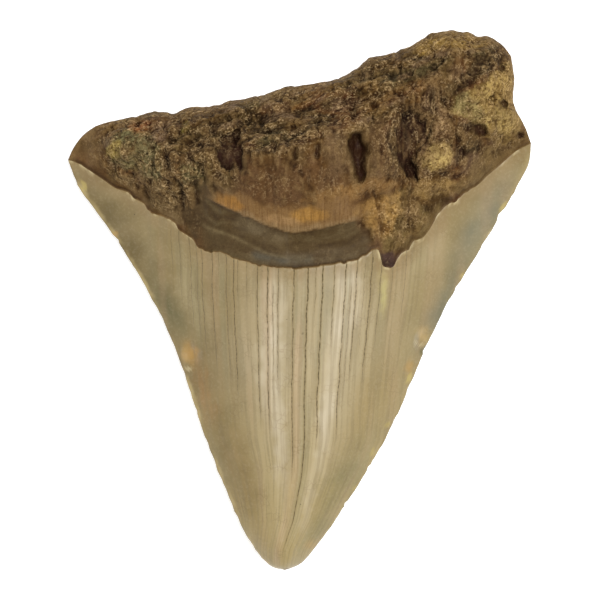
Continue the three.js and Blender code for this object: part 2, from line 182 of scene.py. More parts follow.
# Recesses in the inner face: corners of each one's outline, its depth, and its wall's width.
RECESSES = [
    # Teardrop between two pillars
    ([(9.2, 30.9), (11, 31), (12.4, 28.8), (12.8, 26.2), (12.2, 23.6), (11.6, 21.2), (10.2, 21),
      (9.1, 23.2), (8.2, 25.4), (7.9, 27.6), (8.4, 29.6)], 3, 1.8),
    # Deep hole left of the middle, with a shelf on its left
    ([(-12.6, 30.4), (-10.8, 30.8), (-9.8, 29.6), (-9.7, 26.6), (-9.8, 23.4), (-11, 22.7),
      (-12, 24.6), (-12.6, 27.2)], 2, 1.2),
    ([(-15.2, 27.6), (-13.6, 30), (-11.6, 29.6), (-11.2, 24), (-13.2, 23), (-15.4, 25)], 1.7, 1.2),
    # Broken basin right of the middle
    ([(18.1, 33.8), (20.3, 34.6), (22.4, 33.1), (23.5, 31.3), (23, 28.8), (21.5, 27), (21, 24.3),
      (21.9, 22), (20.6, 21.6), (18.8, 22.8), (16.8, 25), (16, 27.6), (16.4, 31)], 1.5, 1.3),
]

# Small hollows: place, width and length, depth, and turn in degrees where there is one.
PITS = [
    ((-10.6, 31.6), (1.8, 1.6), 1),
    ((-4.6, 27.8), (1.5, 3.6), 1.4),
    ((-0.6, 26.6), (1.6, 2.8), 1.2),
    ((3.1, 26.8), (1.6, 3.2), 1.3),
    ((-1, 31.3), (1.4, 1.4), 0.8),
    ((2.4, 32.8), (1.6, 1.2), 0.8),
    ((15.8, 21.8), (0.9, 1.5), 0.7),
    ((32.3, 30.6), (3.8, 2.6), 2.2, -20),
    ((30.2, 31), (2.4, 1.6), 0.9),
    ((29.4, 27), (3.4, 4), 1),
    ((36.5, 35.4), (1.8, 1.8), 1.8),
    ((36.5, 41.8), (1.7, 1.6), 1.6),
    ((34.2, 36.4), (0.9, 0.9), 0.8),
    ((39.6, 29.9), (1.9, 2), 1.4),
    ((38.2, 30.4), (0.8, 1), 0.7),
    ((13.2, 32.8), (1.2, 1.2), 0.9),
    ((-19.7, 27.6), (2, 3.6), 0.9),
    ((-23.4, 20.6), (1.4, 2.6), 0.8),
    ((-28.4, 27.6), (5, 4.4), 0.8),
    ((-19.4, -9.6), (3.6, 5), 0.7, 20),
    ((22.2, -7), (3.4, 4.6), 0.7, -24),
]
PIT_FADE = (0.25, 1.15)
PIT_RAGGEDNESS = 0.3
PIT_RAGGED_SIZE = 1.7

# Rounded rises on the root: place, width and length, and height.
LUMPS = [
    ((33, 37.5), (14, 17), 1.8),
    ((6.1, 26.8), (5, 9.6), 1.2),
    ((14.6, 27.4), (4.4, 9.4), 1.2),
    ((-7.6, 27.4), (3.6, 8.4), 0.9),
    ((-1.8, 22.6), (6, 7), 0.5),
    ((-22.6, 27.6), (3, 7.4), 0.7),
    ((-16.8, 29.2), (3.2, 5.4), 0.8),
    ((25.6, 25.6), (8, 7), 1.3),
    ((-31, 28.6), (13, 7), 1),
    ((4, 23), (34, 13), 1),
    ((-22.4, 24.4), (8, 9), 0.8),
    ((19, 16), (9, 9), 0.9),
    ((23.6, 20), (8, 4), 0.7),
]

# Long furrows on the root: the points along each one, its width and its depth.
FURROWS = [
    ([(33, 43.6), (30.8, 40), (26.8, 35.2)], 4.2, 1),
    ([(-23.4, 33.4), (-22.8, 29), (-24.2, 24)], 2.6, 0.8),
    ([(17.2, 30.6), (17, 28), (17.8, 25.2)], 1.8, 0.9),
    ([(19.4, 24.6), (20.2, 23.4), (21.3, 22)], 2.2, 1.8),
    ([(21.2, 33.4), (22, 32)], 2, 1),
    ([(23.8, 31.8), (23.4, 29.6), (21.8, 27.2)], 1.6, 1.1),
    ([(28.2, 29.6), (28.6, 27), (28.4, 24.4)], 2.2, 0.9),
    ([(-2.3, 28.6), (2.8, 28.9)], 1.4, 0.7),
    ([(-19.8, 25.8), (-19, 23.4)], 2, 0.8),
    ([(-17.9, 24.2), (-17, 21.8)], 2, 0.8),
    ([(-19, 20.8), (-18.2, 18.4)], 2.4, 1.1),
    ([(-15.4, 20.8), (-14.2, 19.2)], 2, 0.8),
    ([(-27.4, 29.4), (-26.2, 27.6)], 2.4, 0.8),
]

# Finer relief: zones of the root's face that are nearly as rough as its broken slope, the zone
# that is granular, the erosion's sizes and heights, the lines of the chevron band, and the pores.
ROUGH_ZONES = [
    ((-22.5, 25), (20, 19), 1), ((-30.5, 26.5), (12, 12), 1), ((22, 30), (19, 26), 0.95),
    ((18.5, 14), (13, 13), 0.5), ((-14.5, 22), (9, 10), 0.8),
]
GRANULAR_ZONE = ((34, 36), (18, 22))
GRANULAR_SHARE = 0.7
GRANULAR_FINENESS = 1.7
EROSION_HEIGHT = 0.5
EROSION_FACE_SHARE = 0.36
SMOOTH_CORNER = (-39, -33)
CORNER_ROUGHNESS = 0.4
BAND_ROUGHNESS = 0.08
EROSION_START = (0, 0.6)
EROSION_SIZES = [(4, 1.5), (1.7, 0.8), (0.8, 0.4)]
GRAIN_STRETCH = 2.4
GRAIN_NARROWING = 0.8
STREAK_STRETCH = 1.6
SLOPE_TURN = 20
BAND_LINES = 1.4
BAND_LINE_HEIGHT = 0.07
BAND_LINE_LENGTHS = (14, 9)
FIBRE_HEIGHT = 0.12
FIBRE_SIZE = (0.5, 6)
CALM_RIM = (0.3, 3)
PORES = 520
PORE_SEED = 11
PORES_FROM = (-35, 18)
PORE_SIZES = (0.5, 1)
LARGEST_PORE = 1.9
PORE_STRETCHES = (1, 2.2)
PORE_DEPTHS = (0.2, 0.6)
PORE_SHARE_ON_FACE = 0.35
PORE_RAGGEDNESS = 0.3

# How many times the surface is smoothed, to find the places that lie below their surroundings.
FINE_ROUNDS = 8
BROAD_ROUNDS = 70

# Mesh steps of the inner face: across the root, from the tip to the enamel's end, and from
# there to the root's rim. The outer face has half as many.
STEPS_ACROSS = 360
STEPS_CROWN = 140
STEPS_ROOT = 130
FULL_ROWS_FROM = 0.7
NARROWING = 1.3
ARCH_BEND = 1.5
MARGIN_BEND = 7
RIM_STEP_EASE = 1.2

# The cracks of the enamel, left to right: place along the growth lines' reference line at y = 0,
# where each one starts and ends, and how dark it is.
CRACKS = [
    (-20.7, 12, 2, 0.45), (-19.3, 13, -1, 0.5), (-17.5, 12, -6, 0.55), (-16.4, 11, -8, 0.45),
    (-15.5, 10, -10, 0.6), (-13.7, 11, -13, 0.7), (-12.6, 9, 3, 0.55), (-11.2, 9, -16, 0.65),
    (-9.9, 9, -18, 0.85), (-9.2, 9, -1, 0.6), (-7.6, 8, 0, 0.55), (-5.7, 8, -23, 0.8),
    (-3.9, 8, -24, 0.9), (-2.9, 2, -20, 0.5), (-2, 8, -17, 0.65), (0.8, 8, -33, 0.9),
    (3.3, 8, -47, 1), (4.7, 8, -4, 0.45), (5.9, 8, -27, 1), (7.95, 8, -10, 0.65),
    (9.95, 8, -25, 0.9), (11, 2, -18, 0.5), (11.9, 8, -15, 0.85), (13.3, 6, -12, 0.45),
    (14.5, 9, -15, 0.9), (16.2, 6, -9, 0.65), (18.2, 8, -6, 0.4), (20.5, 9, -4, 0.5),
]
CRACK_WIDTH = 0.13
CRACK_CORE = 0.4
CRACK_SIDES = (0.6, 0.5)
CRACK_HALO = (0.55, 0.1)
CRACK_START = 1.5
CRACK_END = (-2, 6)
CRACK_WOBBLES = [(0.55, 4.5), (0.2, 1.1)]

# The growth lines: their middle line's place, and how wide they are spread, at heights in plan.
AXIS_Y = (-45, -39.6, -30.6, -18, -6, 6)
AXIS_X = (-4.2, -2.8, -1.85, -2.1, -2, -1.75)
GROWTH_Y = (-48.4, -39.6, -25, -14, 0, 10.8)
GROWTH_WIDTH = (0.3, 0.5, 0.85, 0.92, 1, 1.03)

# Floor, light and camera, in metres and watts. Each light has a name, a place, a size and a power.
# The picture is as wide as the frame at a level above the floor.
FLOOR_SIZE = 6
FLOOR_LOOK = {
    "Base Color": (0.9, 0.9, 0.9, 1), "Roughness": 0.9,
    "Emission Color": (1, 1, 1, 1), "Emission Strength": 0.5,
}
LIGHTS = [
    ("key", (0.27, 0.215, 0.97), (0.5, 0.5), 8.8),
    ("fill", (-0.7, 0.1, 0.8), (0.9, 0.9), 1.2),
    ("left strip", (-0.56, -0.35, 0.8), (0.08, 0.9), 2.2),
    ("right strip", (0.56, -0.35, 0.8), (0.08, 0.9), 2.2),
]
WORLD_LIGHT = 0.4
CAMERA_HEIGHT = 2
CAMERA_X = 0.00009
CAMERA_REACH = 20
FRAME_LEVEL = 0.004
FRAME_WIDTH = 0.108
SENSOR = 36

# How much brighter than its own colour a level surface looks under the studio light.
LIGHT_GAIN = 1.4


def srgb(red, green, blue):
    """Turns a colour from 0 to 255, as it looks when lit, into the linear values of a surface."""
    value = np.array([red, green, blue]) / 255
    return np.where(value <= 0.04045, value / 12.92, ((value + 0.055) / 1.055) ** 2.4) / LIGHT_GAIN


# Colours. A tone is a colour, its full strength, and the reach of the value that it grows with: where
# it starts, and where it is full.
ENAMEL_MIDDLE = srgb(186, 169, 131)
# The flanks darken towards the cutting edges, partly in the enamel's own colour and partly as painted shade
# where they turn away from the light.
LEFT_TONE_AND_SHADE = (srgb(137, 117, 76), 1, (0.25, 0.85))
RIGHT_TONE_AND_SHADE = (srgb(160, 143, 101), 1, (0.35, 0.95))
TIP_TONE = (srgb(177, 156, 102), 0.75, (10, 40))
TOP_TONE = (srgb(142, 122, 74), 0.7, (-12, 8))
FOOT_TONE = (srgb(146, 120, 78), 0.6, (3.2, 0.3))
# Paler towards the cutting edges: a painted glow of light through the thin enamel, strongest on the left
# edge.
EDGE_GLOW_TONE = (srgb(200, 178, 122), 1, (1.3, 0.2))
EDGE_GLOW_STRENGTHS = (0.9, 0.25)
# Pale flecks just below the enamel's end, away from its middle: partly broken enamel, partly painted
# highlight on its steps.
CHIPPED_AND_HIGHLIT_TONE = (srgb(216, 198, 150), 0.75, (0.6, 0.05))
UNFLECKED_MIDDLE = (4, 14)
HAIR_TONE = (srgb(132, 116, 80), 0.36, (0, 1))
CRAZING_TONE = (srgb(120, 96, 62), 0.22, (0.09, 0.02))
CLOUD_TONE = (srgb(186, 164, 118), 0.22, (0.35, 0.7))
FINE_TONE = (srgb(205, 190, 155), 0.12, (0.45, 0.75))
CRACK_COLOUR = srgb(84, 69, 42)
CRACK_STRENGTH = 0.85
HALO_COLOUR = srgb(150, 128, 80)
HALO_STRENGTH = 0.42
DOT_TONE = (CRACK_COLOUR, 0.8, (0.07, 0.03))
OLIVE_GREY = srgb(115, 110, 74)
GREY = srgb(124, 121, 98)
STAIN_ORANGE = srgb(192, 150, 82)
CHIP_YELLOW = srgb(206, 184, 104)
CHIP_PALE = srgb(222, 204, 158)
SHEEN = srgb(222, 207, 179)
ENAMEL_GLOSS = 0.3
ENAMEL_SIZES = {
    "hair": 0.8, "crazing": 1.1, "crazed areas": 3.5, "dots": 2.6, "dotted areas": 4, "clouds": 5,
    "fine": 0.5, "ripples": 0.9, "satin": 0.25, "gaps in cracks": 1.3, "beads in cracks": 0.45,
}

# Patches of the enamel: place, width and length, turn in degrees, colour and strength.
# Among the stains are painted shade on the flanks and painted sheens along the ridges.
ENAMEL_STAINS_SHADE_AND_SHEENS = [
    # Darker left flank and dark left corner by the enamel's end: partly olive enamel, partly painted shade.
    ((-32, 12.4), (9, 30), 33, srgb(110, 94, 56), 0.95),
    ((-38.4, 22.6), (6, 4), -30, srgb(104, 88, 54), 0.8),
    ((-19.4, 1.6), (6, 22), 14, srgb(178, 163, 122), 0.75),
    ((-8.8, -3), (3.6, 26), 4, srgb(160, 140, 100), 0.4),
    ((18.5, 2), (5, 15), -12, srgb(188, 172, 130), 0.5),
    # Darker lower left flank: partly its own colour, partly painted shade.
    ((-10.6, -31), (8, 30), 16, srgb(134, 111, 66), 0.75),
    ((-23.6, -2), (6, 17), 26, srgb(106, 101, 67), 0.85),
    ((-13.6, -29), (5, 16), 20, OLIVE_GREY, 0.4),
    # Grey right flank: partly its own colour, partly painted shade and a painted bluish-grey sheen.
    ((33, 13), (9, 30), -30, GREY, 0.9),
    ((25.4, -2.2), (6, 20), -28, GREY, 0.85),
    ((8.8, -30), (7, 20), -26, OLIVE_GREY, 0.6),
    ((-20, -9.8), (3.8, 6.2), 18, STAIN_ORANGE, 0.95),
    ((-17, -16.5), (3.8, 13), 14, srgb(158, 118, 70), 0.7),
    ((-12.6, -28), (3.4, 14), 18, srgb(142, 118, 76), 0.5),
    ((22.3, -6.2), (3.6, 4.4), -24, srgb(206, 174, 108), 0.9),
    ((19.8, -12), (2.2, 4.2), -20, STAIN_ORANGE, 0.6),
    ((13, -18), (9, 26), -22, srgb(166, 142, 92), 0.6),
    # Painted highlights: sheens along the two ridges, and a broad paler zone between them.
    ((-5, -7), (5, 34), -2, SHEEN, 0.9),
    ((8.3, -1.4), (6.2, 29), -7, SHEEN, 0.9),
    ((0.4, -19), (9, 30), -2, srgb(198, 180, 142), 0.4),
    ((-2.7, -32), (1.5, 24), 2, srgb(148, 128, 90), 0.5),
    ((23.4, 8.6), (8, 11), -28, srgb(188, 173, 134), 0.5),
    ((4, -40.5), (5, 13), -28, OLIVE_GREY, 0.5),
    # Painted highlights: the sheens further down the ridges.
    ((4.8, -21), (3.6, 26), -6, SHEEN, 0.6),
    ((-3.6, -24), (3, 24), 3, SHEEN, 0.5),
    ((1.6, -36), (2.6, 16), -8, SHEEN, 0.35),
    ((2, -44), (3.2, 2.2), 0, STAIN_ORANGE, 0.4),
    ((15.2, 4.6), (2.6, 3.4), 0, srgb(200, 180, 120), 0.7),
    ((15.1, 1.5), (1.5, 10), -2, srgb(214, 198, 124), 0.85),
]
ENAMEL_CHIPS = [
    ((0.6, -5.9), (0.6, 0.6), 0, CRACK_COLOUR, 0.8),
    ((-38.9, 20.6), (1, 2.4), 30, CHIP_YELLOW, 0.6),
    ((-33.3, 11.8), (1.6, 0.9), 40, STAIN_ORANGE, 0.7),
    ((-27.3, 0.6), (0.7, 1.6), 30, CHIP_PALE, 0.8),
    ((-20, -12.4), (1.5, 0.7), -10, CHIP_PALE, 0.6),
    ((36.6, 16.6), (1, 2.4), -30, CHIP_YELLOW, 0.6),
    ((34.2, 12), (0.7, 1.8), -30, CHIP_PALE, 0.5),
    ((29.2, 4.4), (0.9, 1), 0, CHIP_YELLOW, 0.5),
    ((21.5, -7.8), (2, 0.5), -40, CHIP_PALE, 0.8),
    ((21.9, -9.4), (0.9, 1.5), 0, OLIVE_GREY, 0.9),
    ((19.8, -14), (0.8, 2.4), -20, CHIP_YELLOW, 0.6),
    ((15.8, -22.5), (0.9, 1.4), -20, CHIP_YELLOW, 0.6),
    ((13.3, -27.2), (0.8, 2), -20, CHIP_YELLOW, 0.5),
    ((9.9, -34), (0.7, 1.2), -20, CHIP_YELLOW, 0.5),
]
ENAMEL_STREAKS = [(srgb(188, 156, 120), 1.9, 0.4), (srgb(150, 142, 106), 1.5, 0.4)]
STAIN_SHADE_AND_SHEEN_FADE = (0, 1.25)
PATCH_FADE = (0.6, 1.08)
PATCH_RAGGEDNESS = 0.18
MOST_RAGGED = 0.7

# Bites out of the cutting edges: side, height in plan, length and depth.
EDGE_BITES = [
    (1, 15.6, 3.2, 0.5), (1, 10.4, 2.2, 0.2), (1, 2.6, 2, 0.2), (1, -8.6, 1.8, 0.45),
    (1, -15.6, 1.6, 0.3), (1, -21.4, 1.4, 0.25), (1, -30, 1.2, 0.2), (1, -36.4, 1.2, 0.25),
    (-1, 21.6, 1.6, 0.25), (-1, 11, 1.6, 0.3), (-1, -3, 1.4, 0.2), (-1, -13.4, 1.4, 0.25),
]
EDGE_TEETH = [(1.4, 0.1), (0.7, 0.07)]
EDGE_WEAR_WIDTH = 1.6
EDGE_WEAR_END = (20, 24)
UNWORN_TIP = 2

# Colours of the root. The first two are factors: how much darker a hollow is than the colour around it,
# which is partly painted shade, and how much brighter a grain is, which is partly painted highlight.
DEEP = np.array([0.32, 0.24, 0.16])
OWN_GRAIN_AND_HIGHLIGHT = np.array([2.2, 2.2, 2.1])
GRAIN_AND_HIGHLIGHT_COLOUR = srgb(202, 174, 129)
GRAIN_AND_HIGHLIGHT_SHARE = 0.6
ROOT_BROWN = srgb(97, 69, 36)
SLOPE_BROWN = srgb(78, 61, 31)
SLOPE_STRENGTH = 0.8
CALM_MOTTLING = 0.35
MOTTLE_REACH = (0, 0.5)
DIRT_TONE = (DEEP, 0.5, (0.1, 0.8))
MARGIN_TONE = (srgb(74, 52, 30), 0.85, (0.9, 0.3))
MARGIN_TONE_START = (26, 32)
# A paler rim: partly its own paler brown, partly painted light where the rounded rim turns away from the
# light.
ROOT_RIM_PALE_AND_LIT_TONE = (srgb(142, 114, 72), 0.65, (1.8, 0.2))
# Paler specks on raised spots: partly pale grains, partly painted highlights.
SPECK_AND_HIGHLIGHT_COLOUR = srgb(138, 110, 70)
RAISED_GRAIN_AND_HIGHLIGHT_TONE = (SPECK_AND_HIGHLIGHT_COLOUR, 0.5, (0.02, 0.12))
# Darker in creases and hollows: partly dirt, partly painted shade.
CREASE_DIRT_AND_SHADE_TONE = (DEEP, 0.6, (0.015, 0.12))
HOLLOW_DIRT_AND_SHADE_TONE = (DEEP, 0.6, (0.05, 0.4))
# Darker the deeper a pit is: partly the pits' own dark colour, partly painted shade.
PIT_COLOUR_AND_SHADE_TONE = (srgb(57, 31, 20), 0.82, (0.5, 2.3))
OCHRE = srgb(196, 154, 88)

# Patterns of the root's material: sizes in millimetres, then tones. Two lack their colour, which is
# a paler one of the place's own.
BONE_SIZES = {
    "clumps": 0.9, "hollows": 1.2, "grains": 0.42, "gaps": 0.55, "strands": 0.3, "dust": 0.28,
    "threads": 1.5, "curls": 1.1, "lit areas": 2.2, "holes": 0.8,
}
# The clump, curl and grain tones are partly pale grains, partly painted highlights on the rough surface.
# The shadow, thread and gap tones and the holes are partly dark pores, partly painted shade in hollows and
# crevices.
SHADOW_TONE = (DEEP, 0.4, (0.46, 0.62))
CLUMP_TONE = (SPECK_AND_HIGHLIGHT_COLOUR, 0.5, (0.48, 0.64))
STRAND_TONE = (srgb(104, 72, 38), 0.45, (0.45, 0.62))
DUST_TONE = (DEEP, 0.25, (0.4, 0.7))
THREAD_TONE = (DEEP, 0.4, (0.045, 0))
CURL_TONE = (1, (0.04, 0))
GRAIN_AND_HIGHLIGHT_TONE = (0.85, (0.54, 0.66))
GAP_TONE = (DEEP, 0.72, (0.5, 0.62))
HOLE_STRENGTH = 0.7
ROOT_GLOSS = 0.08

# Mottles: colour, size and strength. Regions: corners, colour, strength and softness.
ROOT_MOTTLES = [
    (srgb(126, 76, 44), 2.6, 0.5), (srgb(136, 102, 52), 2.1, 0.5), (srgb(98, 90, 58), 2.4, 0.5),
    (srgb(154, 126, 98), 1.3, 0.45),
]
ROOT_REGIONS = [
    # Smooth brown middle of the face, and the two pillars on it
    ([(-11.4, 24.3), (-8.9, 25.6), (-5.3, 23.8), (3.7, 24.3), (9.1, 21.2), (13.1, 21.6), (16.7, 21.2),
      (18.1, 19.4), (14.5, 18), (0.1, 16.9), (-10.7, 18.4), (-12.9, 20.7)], srgb(102, 72, 43), 0.8, 1),
    ([(4.4, 31), (6.4, 31.8), (8.2, 30.6), (8.4, 26), (8, 22.6), (5, 22.6), (4.2, 26)],
     srgb(124, 98, 68), 0.6, 0.8),
    ([(12.6, 31.2), (14.6, 31.9), (16.4, 30.8), (16.4, 25.2), (16, 22), (13.2, 22), (12.6, 26)],
     srgb(124, 98, 68), 0.6, 0.8),
    # Rough left part of the face, with an olive patch
    ([(-27, 19), (-27, 31), (-18, 33), (-13, 30), (-12, 20), (-18, 17)], srgb(106, 86, 52), 0.7, 1.5),
    ([(-21.4, 23.8), (-18, 24.4), (-17.4, 20.4), (-20.8, 19.6)], srgb(122, 114, 76), 0.8, 0.7),
    # Smooth left corner, and its reddish end
    ([(-41.6, 26), (-39, 29.8), (-35.5, 31.4), (-33.8, 30), (-35.2, 26), (-34, 23.4), (-37.6, 24.4)],
     srgb(126, 98, 60), 0.9, 0.4),
    ([(-42.2, 26), (-41, 28.6), (-39.6, 27), (-40.2, 24.4)], srgb(98, 60, 38), 0.8, 0.5),
    # Grey-green porous patch on the left lobe
    ([(-34, 25.4), (-34.6, 28), (-33, 30.4), (-29.5, 30.8), (-26.4, 29), (-25.2, 26.4), (-25, 22),
      (-27, 20.8), (-29.4, 23), (-32, 23.6)], srgb(132, 124, 84), 0.85, 0.6),
    # Orange and yellow spots of the left lobe, and a pinkish one
    ([(-30.8, 31.2), (-29.8, 32.5), (-27.6, 32.3), (-27.2, 31), (-28.8, 30.1)], srgb(166, 92, 40), 0.9, 0.8),
    ([(-34.8, 26), (-33.8, 28.8), (-32.2, 28.4), (-32.2, 25.8)], srgb(180, 156, 84), 0.9, 0.5),
    ([(-21.2, 30.2), (-20.4, 31.7), (-19, 31.2), (-19.4, 30)], srgb(156, 142, 66), 0.8, 0.3),
    ([(-26.4, 28.6), (-25.8, 32), (-23.4, 32), (-23.8, 28.4)], srgb(140, 114, 90), 0.7, 0.6),
    # Brown left end of the chevron band, along the enamel
    ([(-34, 22.4), (-28, 23), (-24, 20), (-21, 18.4), (-20, 15), (-22, 13.4), (-28, 17.6)],
     srgb(124, 102, 68), 0.9, 0.6),
    ([(-21.4, 21.4), (-17, 21), (-14.4, 16.5), (-13, 12), (-14, 9.4), (-20, 12.2)],
     srgb(82, 64, 40), 0.9, 0.6),
    # Smooth brown strip on the rim, and a grey one left of it
    ([(-22.8, 34.6), (-17, 35.4), (-12.6, 36.1), (-12.6, 34.2), (-17, 33.3), (-22.2, 33.2)],
     srgb(110, 82, 46), 0.9, 0.3),
    ([(-30, 33.4), (-26, 34.4), (-23.2, 33.8), (-24, 32.8), (-28, 32.6)], srgb(84, 78, 62), 0.8, 0.3),
    # Ochre patch at the chevron's right end, with greenish brown beside it
    ([(17, 19.6), (20.4, 20.6), (25.4, 19.4), (25.3, 16.6), (24.2, 13.2), (21.7, 10.6), (19, 9),
      (15.6, 8.6), (14.6, 11.4), (15, 15)], srgb(124, 102, 60), 0.9, 0.6),
    ([(9.8, 15.4), (11.4, 17.6), (14, 18.6), (17.4, 19.2), (18, 17), (17.2, 14.2), (16.4, 12),
      (15.2, 11.2), (13, 12.8)], OCHRE, 0.8, 0.8),
    ([(0.5, 17.8), (4.5, 19.4), (9.5, 21), (15.8, 22), (18, 20.2), (10, 18), (4, 16.8)],
     srgb(160, 121, 70), 0.85, 0.7),
    ([(19.4, 20.4), (20.8, 20.2), (20.6, 19.2), (19.4, 19.2)], srgb(60, 48, 30), 0.7, 0.4),
    ([(14.6, 8), (17.8, 8.2), (17.6, 6), (15.4, 5.4)], srgb(84, 62, 54), 0.95, 0.3),
    # Ochre ridge below the pale tan patch, the patch, and the pillar above it
    ([(20.8, 21.7), (24, 22.4), (27.8, 21.4), (27, 18.8), (22.8, 17.6), (20.6, 18.6)],
     srgb(176, 142, 84), 0.9, 0.5),
    ([(21.5, 23.6), (22.4, 25.7), (23.6, 27.1), (25.2, 28.1), (26.8, 27.8), (27.3, 26.2), (26.8, 24.5),
      (24.8, 23.8), (23, 23.4)], srgb(217, 186, 115), 1, 0.2),
    ([(24.2, 34.2), (27, 33.8), (27.8, 29.8), (26.2, 28.6), (24.4, 28.8)], srgb(162, 130, 92), 0.85, 0.4),
    # Dark brown right of the pale patch, and the brown strip that runs to the right corner
    ([(27.9, 31.8), (31, 32.2), (32.4, 28.4), (31.6, 25.8), (29.4, 24.6), (28, 25.6)],
     srgb(68, 55, 32), 0.9, 0.8),
    ([(29.4, 25.2), (31.4, 26.4), (33, 25.4), (31.6, 22.4), (29.2, 22.4)], srgb(104, 78, 56), 0.8, 0.5),
    ([(26.5, 19.6), (29.4, 22), (33, 26.6), (37.5, 28.8), (40.8, 29.6), (39.5, 27.4), (34.4, 22.6),
      (30, 19)], srgb(128, 104, 64), 0.85, 0.6),
    # Tan right lobe, greener on its left, brighter on its right
    ([(33.2, 31.4), (34, 29.2), (36.2, 28), (39, 28.6), (40, 30.4), (38.4, 32.6)],
     srgb(158, 130, 74), 0.8, 0.6),
    ([(37, 43.2), (35.2, 41), (33.2, 39.4), (29.8, 37.2), (27.6, 36.4), (27.1, 34.2), (29.8, 32.2),
      (33.8, 31.1), (36.5, 30.2), (39.4, 29.9), (40, 32), (38.8, 36), (38.8, 39.2), (38.8, 42)],
     srgb(197, 168, 100), 0.95, 0.4),
    ([(27.4, 36.4), (27.1, 34.2), (29.8, 32.4), (33, 32), (32, 35.4), (29, 37.2)],
     srgb(156, 142, 94), 0.75, 0.8),
    ([(34, 39.2), (36, 41), (38.4, 40.4), (38.2, 34.6), (34.6, 34.4)], srgb(206, 170, 100), 0.6, 0.8),
    # Dark groove beside the tan lobe, its dark partly painted shade, and ochre along the top of the lobe's
    # rim
    ([(32.5, 45.4), (36.4, 45), (37.7, 43.2), (34.6, 41.4), (31.4, 39), (27.4, 36.6), (25.6, 35),
      (25.2, 36.6), (28, 39.4), (30.6, 42.2)], srgb(76, 61, 37), 0.85, 0.5),
    ([(20, 45.8), (24.4, 48.6), (31, 48.6), (35.2, 47), (34.2, 45.2), (29.8, 45.4), (25.4, 44.8),
      (22.2, 43.7)], srgb(168, 136, 72), 0.95, 0.7),
    # Inside of the broken basin, darkened with painted shade
    ([(16.4, 25), (15.8, 31), (18, 33.8), (21, 34.4), (23.4, 31.8), (22.6, 28), (21.4, 25), (21, 22),
      (18.6, 22.8)], srgb(58, 42, 25), 0.95, 0.7),
    ([(18.8, 28), (19, 31), (20.8, 31.4), (21.2, 28.6)], srgb(82, 70, 46), 0.5, 0.5),
    ([(16.4, 31.6), (18, 34.6), (21.4, 35.8), (24.6, 34), (24.4, 31.6), (21, 33.4)],
     srgb(72, 54, 32), 0.7, 0.7),
    # Inside of the hole left of the middle, darkened with painted shadow
    ([(-14.8, 27.2), (-13.6, 30), (-11.4, 31.4), (-9.7, 30.2), (-9.8, 23.2), (-12.2, 22.8), (-14.6, 24.8)],
     srgb(54, 37, 21), 0.95, 0.6),
    # Small hole at the right corner, darkened with painted shade
    ([(39.2, 30.4), (40.4, 30.2), (40.6, 29.2), (39.6, 28.9)], srgb(66, 40, 34), 0.9, 0.4),
]

# The fibrous band, which is brightest in two places.
FIBRE_ORANGE = srgb(142, 108, 66)
FIBRE_STRENGTH = 0.85
FIBRES_PAST_END = 0.3
# A paler lip along the fibrous band's lower edge: partly its own colour, partly painted highlight where it
# faces the light.
LIP_TONE_AND_HIGHLIGHT = (srgb(168, 140, 98), 0.6, (1.3, 0.2))
FIBRE_PATCHES = [
    ((2, 15.3), (7.5, 3.2), 0, srgb(178, 132, 64), 0.8),
    ((-12.5, 17.4), (6.5, 3), -16, srgb(168, 120, 58), 0.8),
    ((-3, 14.2), (8, 2), -10, srgb(172, 136, 90), 0.7),
    ((9.6, 16.6), (8, 3.4), 10, srgb(150, 116, 74), 0.6),
]

# The chevron band and the paler streaks along it: the points along each streak and its width.
BAND_DARK = srgb(86, 69, 42)
BAND_STRENGTH = 0.9
BAND_COLOUR_START = (-19, -15)
BAND_PALE_TONE = (srgb(111, 95, 65), 0.5, (0.1, 0.8))
BAND_SHADE_TONE = (srgb(62, 44, 25), 0.5, (0.1, 0.8))
BAND_STREAKS = [
    ([(-17.9, 13.5), (-11.6, 11.2), (-6.2, 8.5), (-2.6, 7.6), (1, 7.8)],
     0.3, srgb(130, 112, 78), 0.6),
    ([(-10, 13.6), (-7, 12.1), (-3.4, 10.6)], 1.3, srgb(126, 109, 80), 0.8),
    ([(-8, 8), (-3, 7), (2, 7.2)], 0.8, srgb(98, 93, 78), 0.7),
    ([(-2.4, 12), (-2.2, 9.6), (-2.2, 7)], 0.25, srgb(106, 92, 70), 0.4),
]


# Number helpers

def clamp01(value):
    return np.clip(value, 0, 1)


def mix(a, b, share):
    return a + (b - a) * share


def smoothstep(value, low, high):
    """Goes smoothly from zero at low to one at high, also where low is the larger value."""
    share = clamp01((value - low) / (high - low))
    return share * share * (3 - 2 * share)


def bell(value, width):
    return np.exp(-((value / width) ** 2))


def rounded(share):
    """Rises steeply from zero and levels off at one, like the side of a pebble."""
    return (1 - (1 - clamp01(share)) ** RIM_ROUNDNESS) ** (1 / RIM_ROUNDNESS)


def turned(x, y, degrees):
    """Places measured along and across a direction."""
    angle = np.radians(degrees)
    return x * np.cos(angle) + y * np.sin(angle), y * np.cos(angle) - x * np.sin(angle)


# Lines

def spline(points, per_span=24):
    """A smooth curve through the points, as a dense line of points."""
    p = np.array(points, float)
    last = len(p) - 1
    t = np.linspace(0, last, last * per_span + 1)
    span = np.minimum(t.astype(int), last - 1)
    w = (t - span)[:, None]
    start, end = p[span], p[span + 1]
    leave = (end - p[np.maximum(span - 1, 0)]) / 2
    arrive = (p[np.minimum(span + 2, last)] - start) / 2
    cubic = 2 * start - 2 * end + leave + arrive
    square = -3 * start + 3 * end - 2 * leave - arrive
    return cubic * w ** 3 + square * w ** 2 + leave * w + start


def along_line(line, share):
    """The point at a share of the line's length."""
    run = np.concatenate([[0], np.cumsum(np.hypot(*np.diff(line, axis=0).T))])
    return np.stack([np.interp(share * run[-1], run, line[:, axis]) for axis in (0, 1)], axis=-1)


def line_at(line, x):
    return np.interp(x, line[:, 0], line[:, 1])


